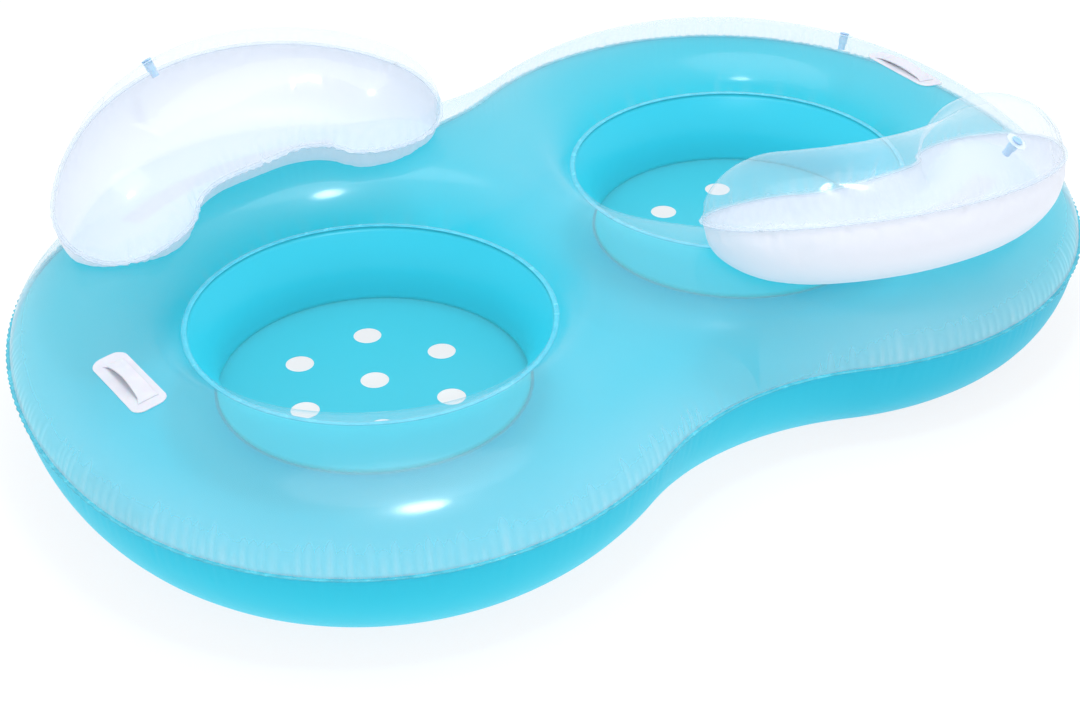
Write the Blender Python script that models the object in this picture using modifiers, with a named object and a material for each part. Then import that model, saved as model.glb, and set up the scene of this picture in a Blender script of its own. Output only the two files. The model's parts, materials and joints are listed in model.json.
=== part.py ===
"""Two-seat inflatable pool raft: two rings run together, each with a seat well, an air
backrest and a grab handle. Lengths are in metres and +Z is up. The raft repeats after half a
turn about Z, so the right side's pieces are the left side's, turned about the raft's middle."""

import math

import bmesh
import bpy
import numpy as np
from mathutils import Matrix, Vector
from mathutils.bvhtree import BVHTree

# Outline of the rings, in plan
WELL_SPACING = 0.7686
LOBE_RADIUS = 0.5698
LOBE_OVAL = 0.0298
OVAL_TURN = math.radians(64)
LOBE_THREE_SIDED = 0.0111
THREE_SIDED_TURN = math.radians(50.3)
LOBE_SHIFT_ALONG = 0.0012
LOBE_SHIFT_ACROSS = -0.0177
WAIST_FILLET = 0.442

# Section of the rings
SEAM_HEIGHT = 0.151
CREST_HEIGHT = 0.270
WELL_RADIUS = 0.2827
RIM_HEIGHT = 0.180
FLOOR_RADIUS = 0.243
FLOOR_HEIGHT = 0.064
WALL_BULGE = 0.020
OUTER_CURVE_WIDTH = 0.118
INNER_CURVE_WIDTH = 0.110
FOOT_DEPTH = 0.0005

# Sheets and welds
SHEET = 0.0005
FLOOR_SHEET = 0.0008
WELD = 0.0010
GAP = 0.0003
SEAM_LIP_OUT = 0.0060
SEAM_LIP_IN = 0.0040
RIM_LIP_OUT = 0.0050
RIM_LIP_IN = 0.0030

# Drain holes
DRAIN_RADIUS = 0.0223
DRAIN_CIRCLE = 0.130

# Backrest pillow, set out along an arc near the well's centre
PILLOW_ARC = 0.2706
PILLOW_SHIFT = 0.0163
PILLOW_SETBACK = 0.208
PILLOW_FIRST = math.radians(31)
PILLOW_LAST = math.radians(145)
PILLOW_HALF_WIDTH = 0.110
PILLOW_BOW_SHARE = 0.34
PILLOW_DROP = 0.0085
PILLOW_LEAN = math.radians(17.7)
PILLOW_TILT = math.radians(5.4)
PILLOW_CROWN = 0.088
PILLOW_BELLY = 0.111
PILLOW_UNDER_DROP = 0.0050
PILLOW_LIP_OUT = 0.0050
PILLOW_LIP_IN = 0.0030
PILLOW_FOOT_CLEARANCE = 0.0016
STRIP_HALF_WIDTH = 0.020
STRIP_HALF_ARC = 0.200
STRIP_RADIUS = 0.425
HINGE_REACH = 0.445

# Handles
HANDLE_TURN = math.radians(-4.5)
PATCH_LENGTH = 0.158
PATCH_WIDTH = 0.054
PATCH_CORNER = 0.018
PATCH_SHEET = 0.0016
GRIP_SPAN = 0.118
GRIP_RISE = 0.011
GRIP_WIDTH = 0.022
GRIP_SHIFT = 0.007
GRIP_STRAP = 0.0030
GRIP_FOOT = 0.010
GRIP_ROUND = 0.0010

# Valves
VALVE_RING_RADIUS = 0.0165
VALVE_RING = 0.0012
STEM_RADIUS = 0.0078
STEM_TIP_RADIUS = 0.0064
STEM_DEPTH = 0.0270
STEM_STEP_DEPTH = 0.0150
STEM_STAND = 0.0020
BORE_RADIUS = 0.0046
BORE_DEPTH = 0.0130
STEM_PLAY = 0.0004
PLUG_PLAY = 0.0002
PLUG_CAP_RADIUS = 0.0085
PLUG_CAP = 0.0016
PLUG_DEPTH = 0.0105
RAFT_VALVE_REACH = 0.494
RAFT_VALVE_TURN = math.radians(22.7)
PILLOW_VALVE_ARC = 0.051
PILLOW_VALVE_OUT = 0.090

# Counts
FINE_STEPS = 1440
FILLET_PASSES = 8
OUTLINE_STEPS = 40
WAIST_STEPS = 12
TOP_STEPS = 9
BOTTOM_STEPS = 8
ROUND_STEPS = 52
WALL_STEPS = 5
DRAIN_STEPS = 18
PILLOW_SIDE_STEPS = 12
PILLOW_CAP_STEPS = 8
PILLOW_RISE_STEPS = 6
STRIP_STEPS = 14
SEAT_PASSES = 4
CORNER_STEPS = 5
GRIP_STEPS = 12
VALVE_STEPS = 20

HALF_TURN = Matrix.Rotation(math.pi, 4, "Z")
LEFT_WELL = np.array([-WELL_SPACING / 2, 0.0])


def clear_scene():
    """Removes the startup scene's objects."""
    for obj in list(bpy.data.objects):
        bpy.data.objects.remove(obj)


def new_collection(name, shown=True):
    """A collection linked to the scene. One that isn't shown holds cutters."""
    group = bpy.data.collections.new(name)
    bpy.context.scene.collection.children.link(group)
    group.hide_render = not shown
    return group


def new_material(name, colour, roughness, alpha=1.0):
    """A Principled material."""
    material = bpy.data.materials.new(name)
    material.use_nodes = True
    shader = material.node_tree.nodes["Principled BSDF"]
    shader.inputs["Base Color"].default_value = (*colour, 1.0)
    shader.inputs["Roughness"].default_value = roughness
    shader.inputs["Alpha"].default_value = alpha
    return material


def new_object(name, bm, group, origin=(0.0, 0.0, 0.0)):
    """An object from a bmesh in world coordinates, with its origin where asked."""
    bmesh.ops.translate(bm, verts=bm.verts, vec=-Vector(origin))
    mesh = bpy.data.meshes.new(name)
    bm.to_mesh(mesh)
    bm.free()
    obj = bpy.data.objects.new(name, mesh)
    obj.location = origin
    group.objects.link(obj)
    return obj


def settle(obj):
    """Swaps an object's modifiers for the mesh that they make."""
    bpy.context.view_layer.update()
    graph = bpy.context.evaluated_depsgraph_get()
    mesh = bpy.data.meshes.new_from_object(obj.evaluated_get(graph))
    obj.modifiers.clear()
    obj.data = mesh
    return obj


def thicken(obj, thickness, offset=-1.0):
    """Gives a surface a wall. An offset of -1 keeps the surface as the outside."""
    wall = obj.modifiers.new("wall", "SOLIDIFY")
    wall.thickness = thickness
    wall.offset = offset
    wall.use_even_offset = True
    wall.use_quality_normals = True
    return settle(obj)


def boolean(obj, cutter, operation):
    """Cuts or trims an object with a closed cutter."""
    cut = obj.modifiers.new("cut", "BOOLEAN")
    cut.operation = operation
    cut.solver = "EXACT"
    cut.object = cutter
    return settle(obj)


def finish(obj, material, parent=None):
    """Names the mesh, gives it its material and hangs it on its joint's empty."""
    obj.data.name = obj.name
    obj.data.materials.clear()
    obj.data.materials.append(material)
    if parent is not None:
        obj.location = obj.location - parent.location
        obj.parent = parent
    return obj


def new_empty(name, group, location):
    """An empty that marks a joint's axis."""
    empty = bpy.data.objects.new(name, None)
    empty.location = location
    group.objects.link(empty)
    return empty


def lobe_radius(turn):
    """Distance from a well's centre to the outline, by the angle from the lobe's own end."""
    oval = LOBE_OVAL * np.cos(2 * (turn - OVAL_TURN))
    three = LOBE_THREE_SIDED * np.cos(3 * (turn - THREE_SIDED_TURN))
    shift = LOBE_SHIFT_ALONG * np.cos(turn) + LOBE_SHIFT_ACROSS * np.sin(turn)
    return LOBE_RADIUS + oval + three + shift


def right_lobe():
    """Points of the right lobe's edge."""
    turn = np.linspace(0, math.tau, FINE_STEPS, endpoint=False)
    radius = lobe_radius(turn)
    return np.stack([WELL_SPACING / 2 + radius * np.cos(turn), radius * np.sin(turn)], axis=1)


def fillet_centre(lobe):
    """Centre of the arc that touches both lobes in front, and where it touches each."""
    centre = np.array([0.0, -WELL_SPACING])
    for _ in range(FILLET_PASSES):
        arms, reach = [], []
        for edge in (-lobe, lobe):
            away = centre - edge
            length = np.linalg.norm(away, axis=1)
            nearest = length.argmin()
            arms.append(away[nearest] / length[nearest])
            reach.append(length[nearest])
        centre = centre + np.linalg.solve(np.array(arms), WAIST_FILLET - np.array(reach))
    return centre, [centre - arm * WAIST_FILLET for arm in arms]


def outline_point(angles):
    """Points of the raft's outline at angles about its middle, filleted across the waist."""
    lobe = right_lobe()
    turn = np.arctan2(lobe[:, 1], lobe[:, 0])
    length = np.linalg.norm(lobe, axis=1)
    right = np.interp(angles, turn, length, period=math.tau)
    left = np.interp(angles + math.pi, turn, length, period=math.tau)
    reach = np.maximum(right, left)
    centre, touches = fillet_centre(lobe)
    middle = math.atan2(centre[1], centre[0])
    low, high = sorted(math.atan2(y, x) - middle for x, y in touches)
    for half_turn in (0, math.pi):
        swing = (angles - half_turn - middle + math.pi) % math.tau - math.pi
        across = np.linalg.norm(centre) * np.sin(swing)
        along = np.linalg.norm(centre) * np.cos(swing)
        chord = np.sqrt((WAIST_FILLET**2 - across**2).clip(0))
        reach = np.where((swing > low) & (swing < high), along - chord, reach)
    return np.stack([reach * np.cos(angles), reach * np.sin(angles)], axis=1)


def resample(points, steps):
    """Points at even distances along an open path."""
    lengths = np.linalg.norm(np.diff(points, axis=0), axis=1)
    run = np.concatenate([[0.0], np.cumsum(lengths)])
    at = np.linspace(0, run[-1], steps + 1)
    return np.stack([np.interp(at, run, points[:, k]) for k in range(2)], axis=1)


def left_outline():
    """The outline's left half, from the back of the waist to its front."""
    search = np.linspace(math.pi / 4, 3 * math.pi / 4, FINE_STEPS)
    reach = np.linalg.norm(outline_point(search), axis=1)
    back = search[reach.argmin()]
    angles = np.linspace(back, back + math.pi, FINE_STEPS)
    return resample(outline_point(angles), OUTLINE_STEPS)


def waist_points(half):
    """Points across the waist, front to back, closest together near the outline."""
    steps = np.arange(1, WAIST_STEPS)
    along = -np.cos(math.pi * steps / WAIST_STEPS)
    return along[:, None] * half[0][None, :]


def outer_loop(half):
    """Closed loop round the left lobe, and for each point whether it lies on the waist."""
    waist = waist_points(half)
    inside = np.concatenate([np.zeros(len(half)), np.ones(len(waist))])
    return np.concatenate([half, waist]), inside


def lobe_grid(half, inner_radius, steps):
    """Plan positions of the left lobe's sheet, by place round the well and step outwards."""
    loop, inside = outer_loop(half)
    arms = loop - LEFT_WELL
    hub = LEFT_WELL + arms / np.linalg.norm(arms, axis=1, keepdims=True) * inner_radius
    step = np.arange(steps + 1) / steps
    both_ends = (1 - np.cos(math.pi * step)) / 2
    one_end = 1 - np.cos(math.pi * step / 2)
    spread = np.where(inside[:, None] > 0, one_end[None, :], both_ends[None, :])
    return hub[:, None, :] + (loop - hub)[:, None, :] * spread[:, :, None]


def sheet_mesh(half, inner_radius, steps):
    """The sheet of both lobes, flat, joined across the waist."""
    grid = lobe_grid(half, inner_radius, steps)
    around = len(grid)
    bm = bmesh.new()
    for side in (1, -1):
        verts = [[bm.verts.new((side * x, side * y, 0.0)) for x, y in row] for row in grid]
        for i in range(around):
            here, after = verts[i], verts[(i + 1) % around]
            for j in range(steps):
                bm.faces.new((here[j], here[j + 1], after[j + 1], after[j]))
    bmesh.ops.remove_doubles(bm, verts=bm.verts, dist=GAP / 3)
    bm.verts.index_update()
    return bm


def triangles(bm):
    """The mesh's triangles as vertex numbers."""
    return np.array([[loop.vert.index for loop in tri] for tri in bm.calc_loop_triangles()])


def stiffness(points, faces):
    """The membrane's stiffness matrix and the plan area that each point carries."""
    matrix = np.zeros((len(points), len(points)))
    area = np.zeros(len(points))
    for k in range(3):
        a, b, c = faces[:, k], faces[:, (k + 1) % 3], faces[:, (k + 2) % 3]
        u, v = points[a] - points[c], points[b] - points[c]
        cross = np.abs(u[:, 0] * v[:, 1] - u[:, 1] * v[:, 0])
        pull = (u * v).sum(axis=1) / cross / 2
        np.add.at(matrix, (a, b), -pull)
        np.add.at(matrix, (b, a), -pull)
        np.add.at(matrix, (a, a), pull)
        np.add.at(matrix, (b, b), pull)
        np.add.at(area, c, cross / 6)
    return matrix, area


def inflate(bm, rim_height, seam_height, crest):
    """Raises a flat sheet as air pressure would, with its edges held at the two welds."""
    points = np.array([v.co[:2] for v in bm.verts])
    edge = np.array([v.is_boundary for v in bm.verts])
    to_well = np.linalg.norm(np.abs(points[:, 0:1]) * [1, 0] + points[:, 1:2] * [0, 1] + LEFT_WELL, axis=1)
    at_well = edge & (to_well < WELL_RADIUS + GAP)
    matrix, area = stiffness(points, triangles(bm))
    free, held = np.where(~edge)[0], np.where(edge)[0]
    base = np.where(at_well, rim_height, seam_height)
    inner = matrix[np.ix_(free, free)]
    base[free] = np.linalg.solve(inner, -matrix[np.ix_(free, held)] @ base[held])
    rise = np.zeros(len(points))
    rise[free] = np.sqrt(2 * np.linalg.solve(inner, area[free]))
    lift = ((crest - base[free]) / rise[free]).min()
    for vert in bm.verts:
        vert.co.z = base[vert.index] + lift * rise[vert.index]


def gap_to_outline(points, half):
    """Distance of each plan point to the outline."""
    loop = np.concatenate([half, -half[1:]])
    start, run = loop[:-1], np.diff(loop, axis=0)
    arms = points[:, None, :] - start[None, :, :]
    along = ((arms * run).sum(axis=2) / (run * run).sum(axis=1)).clip(0, 1)
    return np.linalg.norm(arms - along[:, :, None] * run, axis=2).min(axis=1)


def quarter_curve(distance, width, height):
    """Height of a rounded edge that starts upright and ends level after its width."""
    left = (1 - distance / width).clip(0, 1)
    return height * (1 - np.sqrt(1 - left * left))


def sink(bm, half, seam_height, floor_height):
    """Shapes the bottom sheet: round at the outline and at the floor, level where it stands."""
    points = np.array([v.co[:2] for v in bm.verts])
    out = gap_to_outline(points, half)
    left = np.linalg.norm(points - LEFT_WELL, axis=1)
    right = np.linalg.norm(points + LEFT_WELL, axis=1)
    inward = np.minimum(left, right) - FLOOR_RADIUS
    outer = quarter_curve(out, OUTER_CURVE_WIDTH, seam_height + FOOT_DEPTH)
    inner = quarter_curve(inward, INNER_CURVE_WIDTH, floor_height + FOOT_DEPTH)
    heights = np.maximum(np.maximum(outer, inner) - FOOT_DEPTH, 0)
    for vert in bm.verts:
        vert.co.z = heights[vert.index]


def flat_ring(name, group, inner, outer, thickness):
    """A closed strip between two loops of 3D points."""
    bm = bmesh.new()
    rings = [[bm.verts.new(p) for p in loop] for loop in (inner, outer)]
    count = len(inner)
    for i in range(count):
        after = (i + 1) % count
        bm.faces.new((rings[0][i], rings[1][i], rings[1][after], rings[0][after]))
    obj = new_object(name, bm, group)
    return thicken(obj, thickness, 0.0)


def offset_loop(loop, distance):
    """A closed plan loop moved outwards."""
    along = np.roll(loop, -1, axis=0) - np.roll(loop, 1, axis=0)
    along /= np.linalg.norm(along, axis=1, keepdims=True)
    return loop + np.stack([along[:, 1], -along[:, 0]], axis=1) * distance


def at_height(loop, height):
    """Plan points as 3D points."""
    return [(x, y, height) for x, y in loop]


def circle(radius, steps, centre=(0.0, 0.0)):
    """Points of a circle in plan."""
    turn = np.arange(steps) * math.tau / steps
    return np.stack([centre[0] + radius * np.cos(turn), centre[1] + radius * np.sin(turn)], axis=1)


def turned(name, group, profile, steps, closed=False):
    """A body of revolution about Z from (radius, height) pairs, outer side top to bottom."""
    bm = bmesh.new()
    verts = [bm.verts.new((radius, 0.0, height)) for radius, height in profile]
    for a, b in zip(verts, verts[1:]):
        bm.edges.new((a, b))
    if closed:
        bm.edges.new((verts[-1], verts[0]))
    obj = new_object(name, bm, group)
    screw = obj.modifiers.new("turn", "SCREW")
    screw.axis = "Z"
    screw.steps = steps
    screw.render_steps = steps
    screw.use_merge_vertices = True
    screw.merge_threshold = GAP / 6
    return settle(obj)


def prism(name, group, loop, low, high):
    """A closed cutter that stands on a plan loop."""
    bm = bmesh.new()
    face = bm.faces.new([bm.verts.new((x, y, low)) for x, y in loop])
    lifted = bmesh.ops.extrude_face_region(bm, geom=[face])["geom"]
    tops = [item for item in lifted if isinstance(item, bmesh.types.BMVert)]
    bmesh.ops.translate(bm, verts=tops, vec=(0.0, 0.0, high - low))
    bmesh.ops.recalc_face_normals(bm, faces=bm.faces)
    obj = new_object(name, bm, group)
    obj.display_type = "WIRE"
    obj.hide_render = True
    return obj


def handle_place(x, y):
    """Plan position on the raft from a place on the left handle, midway from weld to seam."""
    reach = (WELL_SPACING + WELL_RADIUS + lobe_radius(0.0)) / 2
    across = x * math.cos(HANDLE_TURN) - y * math.sin(HANDLE_TURN)
    along = x * math.sin(HANDLE_TURN) + y * math.cos(HANDLE_TURN)
    return across - reach, along


def patch_loop():
    """Plan loop of a handle's patch, a rectangle with round corners."""
    points = []
    for quarter, (sx, sy) in enumerate(((1, 1), (-1, 1), (-1, -1), (1, -1))):
        for k in range(CORNER_STEPS + 1):
            turn = (quarter + k / CORNER_STEPS) * math.pi / 2
            x = sx * (PATCH_WIDTH / 2 - PATCH_CORNER) + PATCH_CORNER * math.cos(turn)
            y = sy * (PATCH_LENGTH / 2 - PATCH_CORNER) + PATCH_CORNER * math.sin(turn)
            points.append(handle_place(x, y))
    return points


def skin_over(name, group, surface, cutter, reach, thickness):
    """A patch of even thickness that lies a gap above a sheet, trimmed to a cutter's outline."""
    bm = bmesh.new()
    bm.from_mesh(surface)
    centre = sum((Vector(corner) for corner in cutter.bound_box), Vector()) / 8
    far = [f for f in bm.faces if (f.calc_center_median() - centre).xy.length > reach]
    bmesh.ops.delete(bm, geom=far, context="FACES")
    bm.normal_update()
    for vert in bm.verts:
        vert.co += vert.normal * GAP
    obj = new_object(name, bm, group)
    thicken(obj, thickness, 1.0)
    return boolean(obj, cutter, "INTERSECT")


def pillow_frame():
    """For each place round the pillow, its spot on the middle line and its arm to the edge."""
    half = PILLOW_ARC * (PILLOW_LAST - PILLOW_FIRST) / 2
    spots = []
    for side in (1, -1):
        for k in range(PILLOW_SIDE_STEPS):
            share = 1 - 2 * k / PILLOW_SIDE_STEPS
            bow = PILLOW_BOW_SHARE * (1 - share * share) ** 2 if side < 0 else 0.0
            spots.append((side * half * share, 0.0, side * (1 + bow)))
        for k in range(PILLOW_CAP_STEPS):
            turn = side * math.pi / 2 + math.pi * k / PILLOW_CAP_STEPS
            spots.append((-side * half, math.cos(turn), math.sin(turn)))
    return spots


def pillow_level(x, y):
    """Height of the left pillow's seam over a plan point, measured from the pillow's corner."""
    return CREST_HEIGHT - PILLOW_DROP + y * math.tan(PILLOW_LEAN) + x * math.tan(PILLOW_TILT)


def under_ceiling(x, y):
    """Height that the inside of the left pillow's underskin stays below, over a plan point."""
    return pillow_level(x - LEFT_WELL[0] - PILLOW_SHIFT, y - PILLOW_SETBACK) - PILLOW_UNDER_DROP


def pillow_point(along, across, rise):
    """World point of the left pillow from its place along and across its arc, and its rise."""
    turn = (PILLOW_FIRST + PILLOW_LAST) / 2 - along / PILLOW_ARC
    reach = PILLOW_ARC + across
    x, y = reach * math.cos(turn), reach * math.sin(turn)
    normal = Vector((-math.tan(PILLOW_TILT), -math.tan(PILLOW_LEAN), 1.0)).normalized()
    corner = Vector((LEFT_WELL[0] + PILLOW_SHIFT, PILLOW_SETBACK, 0.0))
    return corner + Vector((x, y, pillow_level(x, y))) + normal * rise


def pillow_loop(share, rise):
    """Points round the pillow at a share of its half width."""
    reach = PILLOW_HALF_WIDTH * share
    return [pillow_point(a + u * reach, v * reach, rise) for a, u, v in pillow_frame()]


def pillow_skin(name, group, crown, start):
    """One skin of the pillow, from the seam to its middle line."""
    bm = bmesh.new()
    rings = []
    for j in range(PILLOW_RISE_STEPS + 1):
        turn = math.pi / 2 * j / PILLOW_RISE_STEPS
        rise = start + (crown - start) * math.sin(turn)
        rings.append([bm.verts.new(p) for p in pillow_loop(math.cos(turn), rise)])
    count = len(rings[0])
    for low, high in zip(rings, rings[1:]):
        for i in range(count):
            after = (i + 1) % count
            bm.faces.new((low[i], low[after], high[after], high[i]))
    bmesh.ops.remove_doubles(bm, verts=bm.verts, dist=GAP / 3)
    if crown < 0:
        bmesh.ops.reverse_faces(bm, faces=bm.faces)
    return new_object(name, bm, group)


def seat_on(obj, tree, clearance, ceiling):
    """Presses a skin up off the sheet below it, to a clearance, but never over its ceiling."""
    bm = bmesh.new()
    bm.from_mesh(obj.data)
    for _ in range(SEAT_PASSES):
        lift = {vert: 0.0 for vert in bm.verts}
        for face in bm.faces:
            corners = [vert.co for vert in face.verts]
            middles = [(a + b) / 2 for a, b in zip(corners, corners[1:] + corners[:1])]
            lack = 0.0
            for point in (*corners, *middles, face.calc_center_median()):
                start = Vector((point.x, point.y, CREST_HEIGHT * 2))
                hit = tree.ray_cast(start, Vector((0.0, 0.0, -1.0)))[0]
                if hit is not None:
                    lack = max(lack, hit.z + clearance - point.z)
            for vert in face.verts:
                lift[vert] = max(lift[vert], lack)
        for vert, rise in lift.items():
            if not vert.is_boundary:
                vert.co.z = min(vert.co.z + rise, ceiling(vert.co.x, vert.co.y))
    bm.to_mesh(obj.data)
    bm.free()


def strip_loop():
    """Plan loop of the weld strip under a backrest."""
    loop = []
    half = STRIP_HALF_ARC / STRIP_RADIUS
    for side in (1, -1):
        for k in range(STRIP_STEPS + 1):
            turn = math.pi / 2 + side * half * (2 * k / STRIP_STEPS - 1)
            reach = STRIP_RADIUS + side * STRIP_HALF_WIDTH
            loop.append((LEFT_WELL[0] + reach * math.cos(turn), reach * math.sin(turn)))
    return loop


def grip_profile():
    """Side view of the grip's strap, as (along, height) points round its closed outline."""
    top, under = [], []
    half = GRIP_SPAN / 2
    for k in range(GRIP_STEPS + 1):
        share = 2 * k / GRIP_STEPS - 1
        rise = GRIP_RISE * (1 - share * share)
        top.append(((half - GRIP_FOOT) * share, rise + GRIP_STRAP))
        under.append(((half - GRIP_FOOT - GRIP_STRAP) * share, rise))
    left = [(-half, 0.0), (-half, GRIP_STRAP)]
    right = [(half, GRIP_STRAP), (half, 0.0)]
    return left + top + right + under[::-1]


def lay_grip(group, tree):
    """The handle's strap, cut from its side view and set down on its patch."""
    bm = bmesh.new()
    low = GRIP_SHIFT - GRIP_WIDTH / 2
    high = GRIP_SHIFT + GRIP_WIDTH / 2
    sides = []
    for across in (low, high):
        loop = [(*handle_place(across, y), z) for y, z in grip_profile()]
        sides.append([bm.verts.new(point) for point in loop])
    count = len(sides[0])
    for i in range(count):
        after = (i + 1) % count
        bm.faces.new((sides[0][i], sides[0][after], sides[1][after], sides[1][i]))
    for side in sides:
        bm.faces.new(side)
    bmesh.ops.recalc_face_normals(bm, faces=bm.faces)
    base = 0.0
    for vert in bm.verts:
        start = Vector((vert.co.x, vert.co.y, CREST_HEIGHT * 2))
        hit = tree.ray_cast(start, Vector((0.0, 0.0, -1.0)))[0]
        base = max(base, hit.z)
    bmesh.ops.translate(bm, verts=bm.verts, vec=(0.0, 0.0, base + GAP))
    obj = new_object("handle_left_grip", bm, group)
    edge = obj.modifiers.new("edge", "BEVEL")
    edge.width = GRIP_ROUND
    edge.segments = 2
    edge.limit_method = "ANGLE"
    edge.angle_limit = math.radians(60)
    return settle(obj)


def tree_of(obj):
    """A search tree of an object's mesh, in world coordinates."""
    bm = bmesh.new()
    bm.from_mesh(obj.data)
    bm.transform(obj.matrix_world)
    tree = BVHTree.FromBMesh(bm)
    bm.free()
    return tree


def facet_at(tree, x, y):
    """The facet under a plan point: the point on it and its outward normal."""
    hit, normal = tree.ray_cast(Vector((x, y, CREST_HEIGHT * 3)), Vector((0.0, 0.0, -1.0)))[:2]
    return hit, normal


def valve_profiles():
    """Closed (radius, height) outlines of a valve's ring, stem and plug."""
    hole = STEM_RADIUS + STEM_PLAY
    ring = [(VALVE_RING_RADIUS, GAP + VALVE_RING), (VALVE_RING_RADIUS, GAP)]
    ring += [(hole, GAP), (hole, GAP + VALVE_RING)]
    stem = [(BORE_RADIUS, STEM_STAND), (STEM_RADIUS, STEM_STAND)]
    stem += [(STEM_RADIUS, -STEM_STEP_DEPTH), (STEM_TIP_RADIUS, -STEM_STEP_DEPTH - WELD)]
    stem += [(STEM_TIP_RADIUS, -STEM_DEPTH), (0.0, -STEM_DEPTH)]
    stem_inside = [(0.0, -BORE_DEPTH), (BORE_RADIUS, -BORE_DEPTH)]
    under = STEM_STAND + GAP
    pin = BORE_RADIUS - PLUG_PLAY
    plug = [(0.0, under + PLUG_CAP), (PLUG_CAP_RADIUS, under + PLUG_CAP), (PLUG_CAP_RADIUS, under)]
    plug += [(pin, under), (pin, -PLUG_DEPTH), (0.0, -PLUG_DEPTH)]
    return ring, stem, stem_inside, plug


def make_valve(name, shapes, spot, normal, group, cutters, sheet, materials, parent=None):
    """Sets a valve square to a sheet, cuts the sheet for its stem and returns its moving empties."""
    place = Matrix.Translation(spot) @ normal.to_track_quat("Z", "Y").to_matrix().to_4x4()
    hole = circle(STEM_RADIUS + STEM_PLAY, VALVE_STEPS)
    cutter = prism(name + "_hole", cutters, hole, -STEM_DEPTH / 2, STEM_DEPTH / 2)
    cutter.matrix_world = place
    boolean(sheet, cutter, "DIFFERENCE")
    slide = new_empty(name + "_slide", group, spot)
    pull = new_empty(name + "_plug_pull", group, (0.0, 0.0, 0.0))
    for empty, over in ((slide, parent), (pull, slide)):
        empty.parent = over
        empty.empty_display_size = STEM_DEPTH
    slide.matrix_world = place
    parts = (("ring", parent), ("stem", slide), ("plug", pull))
    for (part, over), shape, material in zip(parts, shapes, materials):
        obj = bpy.data.objects.new(name + "_" + part, shape)
        group.objects.link(obj)
        obj.parent = over
        bpy.context.view_layer.update()
        obj.matrix_world = place
        if not shape.materials:
            shape.materials.append(material)
    return slide


def valve_shapes(cutters):
    """The three meshes that every valve shares."""
    ring, stem, inside, plug = valve_profiles()
    bodies = (
        turned("valve_ring", cutters, ring, VALVE_STEPS, closed=True),
        turned("valve_stem", cutters, stem + inside, VALVE_STEPS, closed=True),
        turned("valve_plug", cutters, plug, VALVE_STEPS),
    )
    meshes = []
    for body in bodies:
        bm = bmesh.new()
        bm.from_mesh(body.data)
        bmesh.ops.remove_doubles(bm, verts=bm.verts, dist=GAP / 6)
        bmesh.ops.dissolve_degenerate(bm, edges=bm.edges, dist=GAP / 6)
        loose = [e for e in bm.edges if not e.link_faces]
        bmesh.ops.delete(bm, geom=loose, context="EDGES")
        bmesh.ops.recalc_face_normals(bm, faces=bm.faces)
        bm.to_mesh(body.data)
        bm.free()
        meshes.append(body.data)
        bpy.data.objects.remove(body)
    return meshes


def turn_copy(obj, parent=None):
    """The right side's copy of a left piece: the same shape, half a turn about the middle."""
    copy = obj.copy()
    copy.name = obj.name.replace("left", "right")
    for group in obj.users_collection:
        group.objects.link(copy)
    if parent is None:
        copy.matrix_world = HALF_TURN @ obj.matrix_world
    else:
        copy.parent = parent
        copy.matrix_parent_inverse = obj.matrix_parent_inverse.copy()
        copy.matrix_basis = obj.matrix_basis.copy()
    for child in obj.children:
        turn_copy(child, copy)
    return copy


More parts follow.
